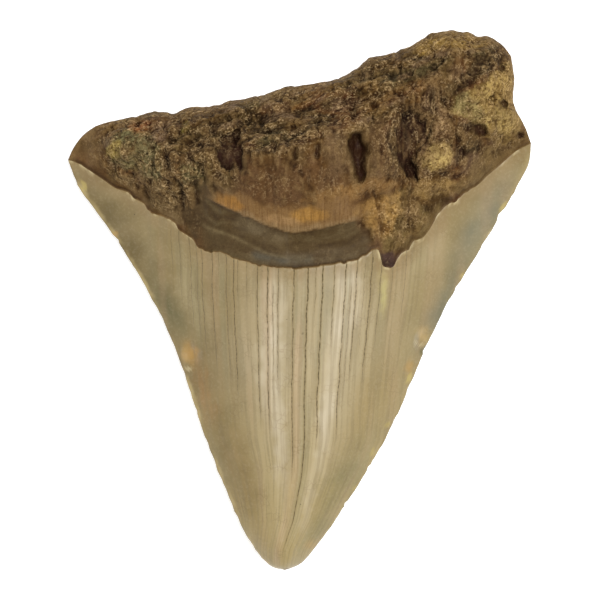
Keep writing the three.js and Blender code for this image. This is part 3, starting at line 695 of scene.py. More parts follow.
def edge_at(edge, y):
    return np.interp(y, edge[:, 1], edge[:, 0])


def distance_to(line, x, y):
    nearest = np.full(np.shape(x), np.inf)
    for (ax, ay), (bx, by) in zip(line[:-1], line[1:]):
        dx, dy = bx - ax, by - ay
        share = clamp01(((x - ax) * dx + (y - ay) * dy) / (dx * dx + dy * dy))
        nearest = np.minimum(nearest, (x - ax - share * dx) ** 2 + (y - ay - share * dy) ** 2)
    return np.sqrt(nearest)


# Noise

def scatter(i, j, k):
    """A number from -1 to 1 for each whole-numbered place, always the same one."""
    value = np.sin(i * 12.9898 + j * 78.233 + k * 37.719) * 43758.5453
    return 2 * (value - np.floor(value)) - 1


def noise(x, y, z=0):
    """Smooth noise between -1 and 1, one lump per unit."""
    i, j, k = np.floor(x), np.floor(y), np.floor(z)
    u, v, w = (smoothstep(value - whole, 0, 1) for value, whole in ((x, i), (y, j), (z, k)))
    layers = []
    for layer in (k, k + 1):
        lower = mix(scatter(i, j, layer), scatter(i + 1, j, layer), u)
        upper = mix(scatter(i, j + 1, layer), scatter(i + 1, j + 1, layer), u)
        layers.append(mix(lower, upper, v))
    return mix(*layers, w)


def lumps(x, y, size):
    return noise(x / size, y / size)


def roughness(x, y, size):
    """Lumps of the given size with half as high, half as large ones on them."""
    return lumps(x, y, size) + 0.5 * noise(2 * x / size, 2 * y / size)


def billow(x, y, z):
    """Rounded lumps with sharp creases between them, below zero in the creases."""
    return 2 * np.abs(noise(x, y, z)) - 0.5


# Areas

def oval(x, y, at, size, turn=0, fade=PIT_FADE):
    """One in the middle of an oval, zero outside of it, and smooth in between."""
    dx, dy = turned(x - at[0], y - at[1], turn)
    return 1 - smoothstep(np.hypot(dx / (size[0] / 2), dy / (size[1] / 2)), *fade)


def patch(x, y, at, size, turn, fade):
    """An oval with a ragged outline."""
    ragged = min(PATCH_RAGGEDNESS * min(size), MOST_RAGGED) * roughness(x, y, 0.4 * min(size) + 0.3)
    ragged = ragged + 0.2 * lumps(x, y, 0.5)
    return oval(x + ragged, y + 0.7 * ragged, at, size, turn, fade)


def depth_inside(corners, x, y, margin=3.0):
    """Distance from a closed line inside of it, and below zero outside of it, as far as a margin."""
    line = spline([*corners, corners[0]], 5)
    low, high = line.min(axis=0) - margin, line.max(axis=0) + margin
    near = np.flatnonzero((x > low[0]) & (x < high[0]) & (y > low[1]) & (y < high[1]))
    inside = np.zeros(len(near), bool)
    for (ax, ay), (bx, by) in zip(line[:-1], line[1:]):
        crosses = (ay > y[near]) != (by > y[near])
        inside ^= crosses & (x[near] < (bx - ax) * (y[near] - ay) / (by - ay + 1e-12) + ax)
    depth = np.full(np.shape(x), -margin)
    depth[near] = distance_to(line, x[near], y[near]) * np.where(inside, 1, -1)
    return depth


def region(x, y, corners, softness):
    """One inside a closed line with a ragged outline, zero outside of it."""
    ragged = 0.5 * roughness(x, y, 1.6) + 0.3 * lumps(x, y, 0.5)
    return smoothstep(depth_inside(corners, x, y) + ragged, -softness, softness)


# The tooth's lines

def jagged(line, teeth):
    """The line with fine teeth, which are low where it is steep and near the tooth's corners."""
    x, y = along_line(line, np.linspace(0, 1, LINE_POINTS)).T
    calm = mix(CALM_SHARE, 1, smoothstep(HALF_WIDTH - np.abs(x), *CALM_CORNERS))
    calm = calm / (1 + STEEP_CALM * np.gradient(y, x) ** 2)
    for size, height in teeth:
        bursts = clamp01(0.6 + noise(x / (3 * size), 3))
        stepped = np.floor(x / size) + smoothstep(x / size - np.floor(x / size), *TOOTH_FLANK)
        y[1:-1] += (height * calm * bursts * noise(stepped, size))[1:-1]
    return np.column_stack([x, y])


def arch_at(x, sag):
    """Height in plan of a plain arch that hangs between the tooth's two corners."""
    corners = mix(LEFT_END[0][1], RIGHT_END[0][1], (x + HALF_WIDTH) / (2 * HALF_WIDTH))
    return corners - sag * (1 - (x / HALF_WIDTH) ** 2)


left_edge, right_edge = spline(LEFT_EDGE), spline(RIGHT_EDGE)
cutting_edges = np.vstack([left_edge[::-1], right_edge[1:]])
left_end, right_end = spline(LEFT_END), spline(RIGHT_END)
top_line = jagged(spline(TOP_EDGE), RIM_TEETH)
rim_line = np.vstack([left_end, top_line[1:], right_end[::-1][1:]])
margin_line = jagged(spline(ENAMEL_MARGIN), MARGIN_TEETH)
band_line = jagged(spline(BAND_TOP), BAND_TEETH)
fibres_line = jagged(spline(FIBRES_TOP), FIBRES_TEETH)
back_x = np.linspace(-HALF_WIDTH, HALF_WIDTH, BACK_LINE_POINTS)
back_margin_line = jagged(np.column_stack([back_x, arch_at(back_x, BACK_MARGIN_SAG)]), MARGIN_TEETH)


def edge_wear(y, side):
    """How far the cutting edge's fine teeth stand out, less how deep it is bitten."""
    out = sum(height * noise(y / size, side) for size, height in EDGE_TEETH)
    for bite_side, middle, length, depth in EDGE_BITES:
        if bite_side == side:
            out = out - depth * smoothstep(1 - np.abs(y - middle) / (length / 2), 0, 1)
    return out * smoothstep(y, -HALF_LENGTH, UNWORN_TIP - HALF_LENGTH) * (1 - smoothstep(y, *EDGE_WEAR_END))


def worn(x, y):
    """Moves places beside the cutting edges along with the edges' teeth and bites."""
    moved = x
    for side, edge in ((-1, left_edge), (1, right_edge)):
        inward = side * (edge_at(edge, y) - x)
        moved = moved + side * edge_wear(y, side) * clamp01(1 - inward / EDGE_WEAR_WIDTH)
    return moved


def side_at(x, y):
    """Place between the cutting edges, from -1 at the left one to 1 at the right one."""
    left, right = edge_at(left_edge, y), edge_at(right_edge, y)
    return np.clip((2 * x - left - right) / np.maximum(right - left, 0.01), -1, 1)


def band_end_at(x, y):
    """Place across the tooth, for the chevron band's leaning and ragged right end."""
    return x + BAND_END_LEAN * (y - CROWN_FOOT_Y) + BAND_END_RAGGEDNESS * roughness(x, y, BAND_END_LUMPS)


# Heights of the two faces

def crown_height(y, side):
    down = clamp01((CROWN_FOOT_Y - y) / (HALF_LENGTH + CROWN_FOOT_Y))
    middle = CROWN_HEIGHT - (CROWN_HEIGHT - TIP_HEIGHT) * down ** CROWN_TAPER
    section = (1 - side * side) * (1 - CROWN_SWELL * side * side)
    bulge = section * rounded((y + HALF_LENGTH) / TIP_ROUNDING)
    height = CUTTING_EDGE_HEIGHT + (middle - CUTTING_EDGE_HEIGHT) * bulge
    for ridge_side, ridge_height in RIDGES:
        ridge = bell(side - ridge_side, RIDGE_WIDTH) * smoothstep(down, 0, RIDGE_FADE)
        height += ridge_height * ridge * bulge
    for hollow_side, middle_y, depth in HOLLOWS:
        height -= depth * bell(side - hollow_side, HOLLOW_WIDTH) * bell(y - middle_y, HOLLOW_LENGTH)
    return height


def root_height(x, y, to_rim):
    """Height of the root's face or of its broken slope, and how far a place is on the slope."""
    face = ROOT_HEIGHT - ROOT_END_DROP * (np.abs(x) / HALF_WIDTH) ** ROOT_END_CURVE
    left_drop = SHOULDER_LEFT[0] * smoothstep(-x, *SHOULDER_LEFT[1:])
    right_drop = SHOULDER_RIGHT[0] * smoothstep(x, *SHOULDER_RIGHT[1:])
    slope = mix(SLOPE_LEFT, SLOPE_RIGHT, smoothstep(x, *SLOPE_REACH))
    broken = SHOULDER_HEIGHT - left_drop - right_drop + slope * to_rim
    broken = broken + SLOPE_ROUGHNESS * roughness(x, y, SLOPE_LUMP_SIZE)
    share = clamp01(0.5 + 0.5 * (broken - face) / BREAK_SOFTNESS)
    return mix(broken, face, share) - BREAK_ROUNDING * share * (1 - share), 1 - share


def outline_height(x, y):
    end_y = np.where(x < 0, LEFT_END[0][1], RIGHT_END[0][1])
    return mix(CUTTING_EDGE_HEIGHT, ROOT_RIM_HEIGHT, smoothstep(y, end_y, end_y + ROOT_RIM_RISE))


def tip_lift(y):
    return TIP_LIFT * smoothstep(-y, HALF_LENGTH / 2, HALF_LENGTH) ** TIP_LIFT_CURVE


def hole_depths(x, y):
    """Depth of the pits, recesses and furrows of the root."""
    ragged_x = x + PIT_RAGGEDNESS * roughness(x + 31, y, PIT_RAGGED_SIZE)
    ragged_y = y + PIT_RAGGEDNESS * roughness(x, y + 17, PIT_RAGGED_SIZE)
    depths = sum(depth * oval(ragged_x, ragged_y, at, size, *turn) for at, size, depth, *turn in PITS)
    for corners, depth, wall in RECESSES:
        depths = depths + depth * smoothstep(depth_inside(corners, ragged_x, ragged_y), 0, wall)
    for path, width, depth in FURROWS:
        depths = depths + depth * (1 - smoothstep(distance_to(path, ragged_x, ragged_y), 0, width / 2))
    return depths


def pore_depths(x, y, broken):
    """Depth of the many small pores of the root's inner face, scattered with a fixed seed."""
    rng = np.random.default_rng(PORE_SEED)
    depth = np.zeros_like(x)
    ragged = PORE_RAGGEDNESS * roughness(x, y, 0.8)
    for _ in range(PORES):
        at = rng.uniform(PORES_FROM[0], HALF_WIDTH), rng.uniform(PORES_FROM[1], HALF_LENGTH)
        size = LARGEST_PORE * rng.uniform(*PORE_SIZES) ** 2
        stretch, level = rng.uniform(*PORE_STRETCHES), rng.uniform(*PORE_DEPTHS)
        near = np.flatnonzero((np.abs(x - at[0]) < size) & (np.abs(y - at[1]) < 2 * size))
        hole = oval(x[near] + ragged[near], y[near] - ragged[near], at, (size, size * stretch))
        depth[near] = np.maximum(depth[near], level * size * hole * mix(PORE_SHARE_ON_FACE, 1, broken[near]))
    return depth


def inner_face(x, y):
    """Heights of the rounded inner face, with the masks that its colours go by."""
    side = side_at(x, y)
    from_margin = distance_to(margin_line, x, y)
    above = np.where(y > line_at(margin_line, x) + 1e-6, from_margin, -from_margin)
    above_band = y - line_at(band_line, x)
    to_rim = distance_to(rim_line, x, y)
    at_end = smoothstep(np.abs(x), MIDDLE_REACH, END_REACH)
    rise_from = mix(BAND_WIDTH, 0, at_end)
    rise = smoothstep(above, rise_from, rise_from + mix(ROOT_RISE, ROOT_RISE_AT_ENDS, at_end))
    on_root = smoothstep(above, 0, ENAMEL_STEP_WIDTH)
    to_end = band_end_at(x, y)
    in_band = smoothstep(x, *BAND_START) * (1 - smoothstep(to_end, *BAND_END))
    smooth = smoothstep(x, *SMOOTH_START) * (1 - smoothstep(to_end, *SMOOTH_END))
    past_margin = smoothstep(above, *MARGIN_SMOOTH_EDGE)
    up_on_root = mix(past_margin, smoothstep(above_band, *BAND_SMOOTH_EDGE), smooth)
    root, broken = root_height(x, y, to_rim)
    ledge = smoothstep(above_band, *LEDGE_EDGE) - smoothstep(above_band, *LEDGE_FADE)
    relief = LEDGE_HEIGHT * in_band * ledge
    relief = relief + LUMP_HEIGHT * mix(BAND_SMOOTHNESS, 1, up_on_root) * roughness(x, y, LUMP_SIZE)
    relief = relief + GRAIN_HEIGHT * up_on_root * noise(x / GRAIN_SIZE[0], y / GRAIN_SIZE[1])
    for at, size, height in LUMPS:
        relief = relief + height * oval(x, y, at, size)
    pits = hole_depths(x, y)
    height = mix(crown_height(y, side), root, rise)
    height = height - ENAMEL_STEP * on_root * (1 - rise) + on_root * relief - pits
    rim = np.where(above > 0, rounded(to_rim / ROOT_RIM_WIDTH), 1)
    broken = broken * smoothstep(above, *BREAK_START)
    return {
        "z": mix(outline_height(x, y), height, rim) + tip_lift(y),
        "side": side, "above": above, "above_band": above_band, "in_band": in_band, "to_rim": to_rim,
        "above_fibres": y - line_at(fibres_line, x), "up_on_root": up_on_root, "broken": broken,
        "pits": pits, "pores": pore_depths(x, y, broken) * up_on_root * smoothstep(to_rim, 0, 1),
    }


def outer_face(x, y):
    """Heights of the flat outer face, with the masks that its colours go by."""
    side = side_at(x, y)
    to_side = clamp01((np.abs(side) - FLAT_SHARE) / (1 - FLAT_SHARE))
    to_tip = clamp01(1 - distance_to(cutting_edges, x, y) / TIP_ROUNDING)
    at_side = np.maximum(to_side, to_tip) ** RIM_ROUNDNESS * (CUTTING_EDGE_HEIGHT - CUTTING_EDGE_THICKNESS)
    to_rim = distance_to(rim_line, x, y)
    rim_share = clamp01(1 - to_rim / BACK_RIM_WIDTH) ** RIM_ROUNDNESS
    at_rim = rim_share * (outline_height(x, y) - CUTTING_EDGE_THICKNESS)
    above = y - line_at(back_margin_line, x)
    groove = np.sin(np.pi * clamp01(above / BACK_GROOVE_WIDTH)) ** 2
    return {
        "z": np.maximum(at_side, at_rim) + BACK_GROOVE_DEPTH * groove + tip_lift(y),
        "side": side, "to_rim": to_rim, "up_on_root": smoothstep(above, *BAND_SMOOTH_EDGE),
        **dict.fromkeys(("above", "above_band", "above_fibres"), above),
        **dict.fromkeys(("in_band", "broken", "pits", "pores"), x * 0),
    }


# The mesh

def face_rows(across, crown, root, margin):
    """Plan positions of one face as rows, from the tip to the enamel's end and on to the rim."""
    rows = [np.array([LEFT_EDGE[0]], float)]
    corners = np.array([LEFT_EDGE[-1], RIGHT_EDGE[-1]])
    sag = corners[:, 1].mean() - line_at(margin, 0)
    for row in range(1, crown + 1):
        along = row / crown
        columns = max(round(across * min(along / FULL_ROWS_FROM, 1) ** NARROWING), 1)
        share = np.linspace(0, 1, columns + 1)[:, None]
        flat = mix(along_line(left_edge, along), along_line(right_edge, along), share)
        x, y = mix(corners[0], corners[1], share).T
        arch = arch_at(x, sag)
        flat[:, 1] += (arch - y) * along ** ARCH_BEND + (line_at(margin, x) - arch) * along ** MARGIN_BEND
        flat[:, 0] = worn(*flat.T)
        rows.append(flat)
    share = np.linspace(0, 1, across + 1)[:, None]
    low = mix(left_end[0], right_end[0], share)
    high = mix(left_end[-1], right_end[-1], share)
    up_from, up_to = line_at(margin, low[:, 0]) - low[:, 1], line_at(top_line, high[:, 0]) - high[:, 1]
    for row in range(1, root + 1):
        along = 1 - (1 - row / root) ** RIM_STEP_EASE
        flat = mix(along_line(left_end, along), along_line(right_end, along), share)
        flat[:, 1] += mix(up_from, up_to, along)
        rows.append(flat)
    return rows


def row_triangles(lower, upper):
    """Joins two rows of vertices that run side by side from end to end, whatever their counts."""
    triangles = []
    i = j = 0
    while i < len(lower) - 1 or j < len(upper) - 1:
        if (i + 1) * (len(upper) - 1) < (j + 1) * (len(lower) - 1):
            triangles.append((lower[i], lower[i + 1], upper[j]))
            i += 1
        else:
            triangles.append((lower[i], upper[j + 1], upper[j]))
            j += 1
    return triangles


def build_face(scale, margin, heights):
    """One face: its points, its masks, its triangles by row, and its outline's vertices."""
    counts = (STEPS_ACROSS // scale, STEPS_CROWN // scale, STEPS_ROOT // scale)
    rows = face_rows(*counts, margin)
    starts = np.concatenate([[0], np.cumsum([len(row) for row in rows])])
    numbers = [list(range(a, b)) for a, b in zip(starts[:-1], starts[1:])]
    flat = np.vstack(rows)
    masks = heights(*flat.T)
    points = np.column_stack([flat, masks["z"]])
    strips = [row_triangles(low, high) for low, high in zip(numbers[:-1], numbers[1:])]
    crown_faces = [tri for strip in strips[:counts[1]] for tri in strip]
    root_faces = [tri for strip in strips[counts[1]:] for tri in strip]
    ring = [row[-1] for row in numbers[:-1]] + numbers[-1][::-1] + [row[0] for row in numbers[1:-1]][::-1]
    return points, masks, crown_faces, root_faces, ring


def join_faces(inner, outer):
    """One closed shell: points, masks, triangles, and which of them are root."""
    top, top_masks, top_crown, top_root, ring = inner
    bottom, bottom_masks, *bottom_faces, back = outer
    start = len(top)
    points = np.vstack([top, bottom])
    masks = {name: np.concatenate([top_masks[name], bottom_masks[name]]) for name in top_masks}
    masks["inner"] = (np.arange(len(points)) < start).astype(float)
    flipped = [[(start + a, start + c, start + b) for a, b, c in faces] for faces in bottom_faces]
    wall = []
    for i, vertex in enumerate(back):
        below, below_next = start + vertex, start + back[(i + 1) % len(back)]
        first, middle, last = ring[2 * i], ring[2 * i + 1], ring[(2 * i + 2) % len(ring)]
        wall.append([(first, below, middle), (middle, below, below_next), (middle, below_next, last)])
    right, left = STEPS_CROWN // 2, len(back) - STEPS_CROWN // 2
    crown_wall = [tri for i, part in enumerate(wall) if i < right or i >= left for tri in part]
    root_wall = [tri for part in wall[right:left] for tri in part]
    crown = top_crown + flipped[0] + crown_wall
    root = top_root + flipped[1] + root_wall
    triangles = np.array(crown + root)
    return points, masks, triangles, np.arange(len(triangles)) >= len(crown)


def vertex_normals(points, triangles):
    a, b, c = (points[triangles[:, corner]] for corner in range(3))
    face_normals = np.cross(b - a, c - a)
    normals = np.zeros_like(points)
    for corner in range(3):
        for axis in range(3):
            normals[:, axis] += np.bincount(triangles[:, corner], face_normals[:, axis], len(points))
    return normals / np.maximum(np.linalg.norm(normals, axis=1, keepdims=True), 1e-12)


def erosion(points, masks):
    """The weathered bone's grains and creases, how rough each point is, and how strong they are."""
    x, y, z = points.T
    along, across = turned(x, y, SLOPE_TURN)
    streaked = upright = granular = 0
    for size, height in EROSION_SIZES:
        streaked = streaked + height * billow(along / (STREAK_STRETCH * size), across / size, z / size)
        upright_x, upright_y = x / (GRAIN_NARROWING * size), y / (GRAIN_STRETCH * size)
        upright = upright + height * billow(upright_x, upright_y, z / size)
        granular = granular + height * billow(*(GRANULAR_FINENESS * points.T / size))
    lobe = oval(x, y, *GRANULAR_ZONE)
    grains = mix(mix(upright, streaked, masks["broken"]), GRANULAR_SHARE * granular, lobe)
    rough = np.maximum(masks["broken"], GRANULAR_SHARE * lobe)
    for at, size, share in ROUGH_ZONES:
        rough = np.maximum(rough, share * oval(x, y, at, size))
    calm = mix(CORNER_ROUGHNESS, 1, smoothstep(x, *SMOOTH_CORNER))
    calm = calm * mix(BAND_ROUGHNESS, 1, masks["up_on_root"]) * smoothstep(masks["above"], *EROSION_START)
    rough = np.maximum(rough, 1 - masks["inner"]) * calm
    return grains, rough, mix(EROSION_FACE_SHARE, 1, rough) * calm


def fine_relief(points, masks):
    """How far each point moves along its normal, for relief too fine for the plain forms."""
    x, y, z = points.T
    calm_rim = mix(CALM_SHARE, 1, smoothstep(masks["to_rim"], *CALM_RIM))
    relief = EROSION_HEIGHT * calm_rim * masks["grains"] * masks["roughness"]
    level = masks["above"] * masks["in_band"] * (masks["above_band"] < 0)
    broad_lines = noise(level * BAND_LINES, x / BAND_LINE_LENGTHS[0])
    lines = broad_lines + 0.4 * noise(level * 2 * BAND_LINES, x / BAND_LINE_LENGTHS[1])
    relief += BAND_LINE_HEIGHT * lines * smoothstep(level, 0.3, 1)
    fibrous = masks["in_band"] * (masks["above_band"] > 0)
    fibrous = fibrous * (1 - smoothstep(masks["above_fibres"], -0.3, 0.6))
    return relief + FIBRE_HEIGHT * fibrous * noise(x / FIBRE_SIZE[0], y / FIBRE_SIZE[1]) - masks["pores"]


def hollowness(points, triangles, rounds):
    """How far each point lies below its smoothed surroundings, in millimetres."""
    ends = np.vstack([triangles[:, [0, 1]], triangles[:, [1, 2]], triangles[:, [2, 0]]])
    neighbours = np.bincount(ends[:, 0], minlength=len(points))
    smooth = points
    for _ in range(rounds):
        total = [np.bincount(ends[:, 0], smooth[ends[:, 1], axis], len(points)) for axis in range(3)]
        smooth = (smooth + np.column_stack(total) / neighbours[:, None]) / 2
    return ((smooth - points) * vertex_normals(points, triangles)).sum(axis=1)


inner = build_face(1, margin_line, inner_face)
outer = build_face(2, back_margin_line, outer_face)
points, masks, triangles, is_root = join_faces(inner, outer)
masks["grains"], masks["rough"], masks["roughness"] = erosion(points, masks)
points = points + vertex_normals(points, triangles) * fine_relief(points, masks)[:, None]

low, high = (np.array(corner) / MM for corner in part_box("tooth"))
middle = (points.min(axis=0) + points.max(axis=0)) / 2
points = points - [middle[0] - (low[0] + high[0]) / 2, middle[1] - (low[1] + high[1]) / 2, 0]
points[:, 2] = np.maximum(points[:, 2], 0)


# Colours

def layered(colour, layers):
    """The colour under layers, each of them a shade and its strength. DEEP darkens what is below."""
    for shade, share in layers:
        cover = colour * DEEP if shade is DEEP else shade
        colour = colour + (cover - colour) * clamp01(share)[:, None]
    return colour


def tone(kind, value, mask=1):
    """The layer of a tone, as strong as its value makes it, inside of a mask."""
    shade, strength, reach = kind
    return shade, strength * mask * smoothstep(value, *reach)


def patches(x, y, rows, fade, mask=1):
    """Layers for a list of patches."""
    return [(shade, strength * mask * patch(x, y, at, size, turn, fade))
            for at, size, turn, shade, strength in rows]


def grain(points, masks, size, number):
    """Noise that is drawn out upright, or along the broken slope: another one for each number."""
    x, y, z = points.T
    along, across = turned(x, y, SLOPE_TURN)
    upright = noise(x / size, y / (GRAIN_STRETCH * size), number)
    slanted = noise(along / (GRAIN_STRETCH * size), across / size, number)
    return mix(upright, slanted, masks["broken"])


def enamel_paint(points, masks):
    """Colour of the enamel at each point: broad tones first, partly painted shade, then stains and painted
    sheens, streaks, a painted edge glow, and chips.
    """
    x, y, z = points.T
    side, growth = masks["side"], masks["growth"]
    waver = 0.12 * noise(x / 6, y / 9)
    colour = layered(ENAMEL_MIDDLE, [
        # Darker flanks: partly their own colour, partly painted shade.
        tone(LEFT_TONE_AND_SHADE, waver - side),
        tone(RIGHT_TONE_AND_SHADE, waver + side),
        tone(TIP_TONE, 30 * waver - y),
        tone(TOP_TONE, 30 * waver + y),
        # Stains, painted shade and painted sheens.
        *patches(x, y, ENAMEL_STAINS_SHADE_AND_SHEENS, STAIN_SHADE_AND_SHEEN_FADE),
    ])
    streaks = noise(growth / 1.7, y / 60) + 0.6 * noise(growth / 0.8 + 5, y / 40)
    colour = colour * (1 + 0.06 * streaks * smoothstep(np.abs(growth), 20, 12))[:, None]
    layers = []
    for number, (shade, size, strength) in enumerate(ENAMEL_STREAKS):
        streak = noise(growth / size + 9 * number, y / (18 * size)) + 0.4 * noise(x / 3, y / 9 + number)
        strength = strength * mix(1, 0.5, smoothstep(np.abs(side), 0.4, 0.8))
        layers.append((shade, strength * smoothstep(streak, 0.1, 0.8)))
    below = np.where(masks["inner"] > 0, -masks["above"], HALF_LENGTH)
    to_edge = (1 - np.abs(side)) * HALF_WIDTH * mix(0.35, 1, smoothstep(y, -HALF_LENGTH, 20))
    glow = mix(*EDGE_GLOW_STRENGTHS, smoothstep(side, -1, 1)) * clamp01(0.5 + roughness(x, y, 4))
    chipped_and_highlit = smoothstep(lumps(x, y, 1.3) + 0.5 * lumps(x, y, 0.5), 0, 0.5)
    chipped_and_highlit = chipped_and_highlit * smoothstep(np.abs(x + 3), *UNFLECKED_MIDDLE)
    return layered(colour, [
        *layers,
        tone(FOOT_TONE, below + 0.6 * noise(x / 2, y)),
        # Painted glow along the thin cutting edges.
        tone(EDGE_GLOW_TONE, to_edge + 0.3 * lumps(x, y, 0.8), glow),
        *patches(x, y, ENAMEL_CHIPS, PATCH_FADE),
        # Pale flecks at the enamel's end: partly broken enamel, partly painted highlight.
        tone(CHIPPED_AND_HIGHLIT_TONE, below, chipped_and_highlit),
    ])


def bone_layers(points, masks):
    """Layers of the root's bone: mottles, regions, some with painted shade inside holes, the basin and a
    groove, and dirt.
    """
    x, y, z = points.T
    lively = mix(CALM_MOTTLING, 1, masks["rough"])
    layers = [(SLOPE_BROWN, SLOPE_STRENGTH * masks["broken"])]
    for number, (shade, size, strength) in enumerate(ROOT_MOTTLES):
        mottle = smoothstep(grain(points, masks, size, number), *MOTTLE_REACH)
        layers.append((shade, strength * lively * mottle))
    patchy = masks["inner"] * clamp01(0.85 + 0.5 * grain(points, masks, 1.6, 9))
    for corners, shade, strength, softness in ROOT_REGIONS:
        layers.append((shade, strength * patchy * region(x, y, corners, softness)))
    dirt = grain(points, masks, 1.5, 5) + 0.5 * grain(points, masks, 0.7, 6)
    return [*layers, tone(DIRT_TONE, dirt, lively)]


def band_layers(points, masks, band, fibres):
    """Layers of the fibrous band and of the chevron band."""
    x, y, z = points.T
    depth = masks["above"] + 0.5 * roughness(x, y, 3)
    level = noise(depth / 0.9, x / 8) + 0.5 * noise(depth / 0.35, x / 5) + 0.4 * roughness(x, y, 0.8)
    layers = [
        (FIBRE_ORANGE, FIBRE_STRENGTH * fibres),
        # Paler lip, partly painted highlight.
        tone(LIP_TONE_AND_HIGHLIGHT, masks["above_band"] + 0.5 * noise(x / 0.7, y / 3), fibres),
        *patches(x, y, FIBRE_PATCHES, PATCH_FADE, fibres),
        (BAND_DARK, BAND_STRENGTH * band),
        tone(BAND_PALE_TONE, level, band),
        tone(BAND_SHADE_TONE, -level, band),
    ]
    for path, width, shade, strength in BAND_STREAKS:
        streak = bell(distance_to(spline(path, 6), x, y), width) * clamp01(0.8 + 0.5 * roughness(x, y, 1.4))
        layers.append((shade, strength * band * streak))
    return layers


def root_paint(points, masks):
    """Colour of the root at each point, the chevron band and the fibrous band included."""
    x, y, z = points.T
    before_end = smoothstep(band_end_at(x, y), *SMOOTH_END[::-1])
    fibres = masks["fibres"] * mix(FIBRES_PAST_END, 1, before_end)
    band = smoothstep(-masks["above_band"], -0.1, 0.25) * smoothstep(x, *BAND_COLOUR_START) * before_end
    band = band * masks["inner"] * (masks["above"] > 0)
    rim = tone(ROOT_RIM_PALE_AND_LIT_TONE, masks["to_rim"] + 0.6 * lumps(x, y, 1.5))
    inside = 1 - rim[1] / ROOT_RIM_PALE_AND_LIT_TONE[1]
    calm = 1 - 0.8 * np.maximum(band, fibres)
    fine, broad = masks["fine_hollows"], masks["broad_hollows"]
    return layered(ROOT_BROWN, [
        *bone_layers(points, masks),
        *band_layers(points, masks, band, fibres),
        tone(MARGIN_TONE, masks["above"], smoothstep(-x, *MARGIN_TONE_START) * masks["inner"]),
        # Paler rim, partly painted light.
        rim,
        # Paler raised spots: partly pale grains, partly painted highlights.
        tone(RAISED_GRAIN_AND_HIGHLIGHT_TONE, -fine, inside * calm),
        # Darker creases and hollows: partly dirt, partly painted shade.
        tone(CREASE_DIRT_AND_SHADE_TONE, fine, calm),
        tone(HOLLOW_DIRT_AND_SHADE_TONE, broad, calm * masks["up_on_root"]),
        # Dark pits: partly their own colour, partly painted shade.
        tone(PIT_COLOUR_AND_SHADE_TONE, masks["pits"] + 0.5 * grain(points, masks, 0.9, 7)),
    ])


x, y, z = points.T
masks["growth"] = (x - np.interp(y, AXIS_Y, AXIS_X)) / np.interp(y, GROWTH_Y, GROWTH_WIDTH)
masks["fine_hollows"] = hollowness(points, triangles, FINE_ROUNDS)
masks["broad_hollows"] = hollowness(points, triangles, BROAD_ROUNDS)
fibre_top = masks["above_fibres"] + 0.7 * lumps(x, y, 1.3)
masks["fibres"] = masks["in_band"] * masks["inner"] * smoothstep(masks["above_band"], -0.1, 0.15)
masks["fibres"] *= 1 - smoothstep(fibre_top, -0.8, 0.8)
masks["specks"] = np.maximum(masks["up_on_root"] * 0.2, masks["roughness"]) * (masks["above"] > 0)
masks["specks"] *= (1 - 0.6 * smoothstep(masks["pits"], 0.7, 2)) * (1 - 0.7 * masks["fibres"])
paint = {"enamel_paint": enamel_paint(points, masks), "root_paint": root_paint(points, masks)}

mesh = bpy.data.meshes.new("tooth_surface")
mesh.vertices.add(len(points))
mesh.vertices.foreach_set("co", (points * MM).ravel())
mesh.loops.add(triangles.size)
mesh.loops.foreach_set("vertex_index", triangles.ravel())
mesh.polygons.add(len(triangles))
mesh.polygons.foreach_set("loop_start", np.arange(len(triangles)) * 3)
mesh.polygons.foreach_set("material_index", is_root.astype(int))
mesh.update(calc_edges=True)
mesh.validate()
mesh.shade_smooth()
for name, values in paint.items():
    layer = mesh.attributes.new(name, "FLOAT_COLOR", "POINT")
    layer.data.foreach_set("color", np.column_stack([values, np.ones(len(values))]).ravel())
for name in ("specks", "growth", "fibres", "inner", "broken"):
    mesh.attributes.new(name, "FLOAT", "POINT").data.foreach_set("value", masks[name])
tooth = bpy.data.objects.new("tooth_surface", mesh)
bpy.context.scene.collection.objects.link(tooth)


# Materials

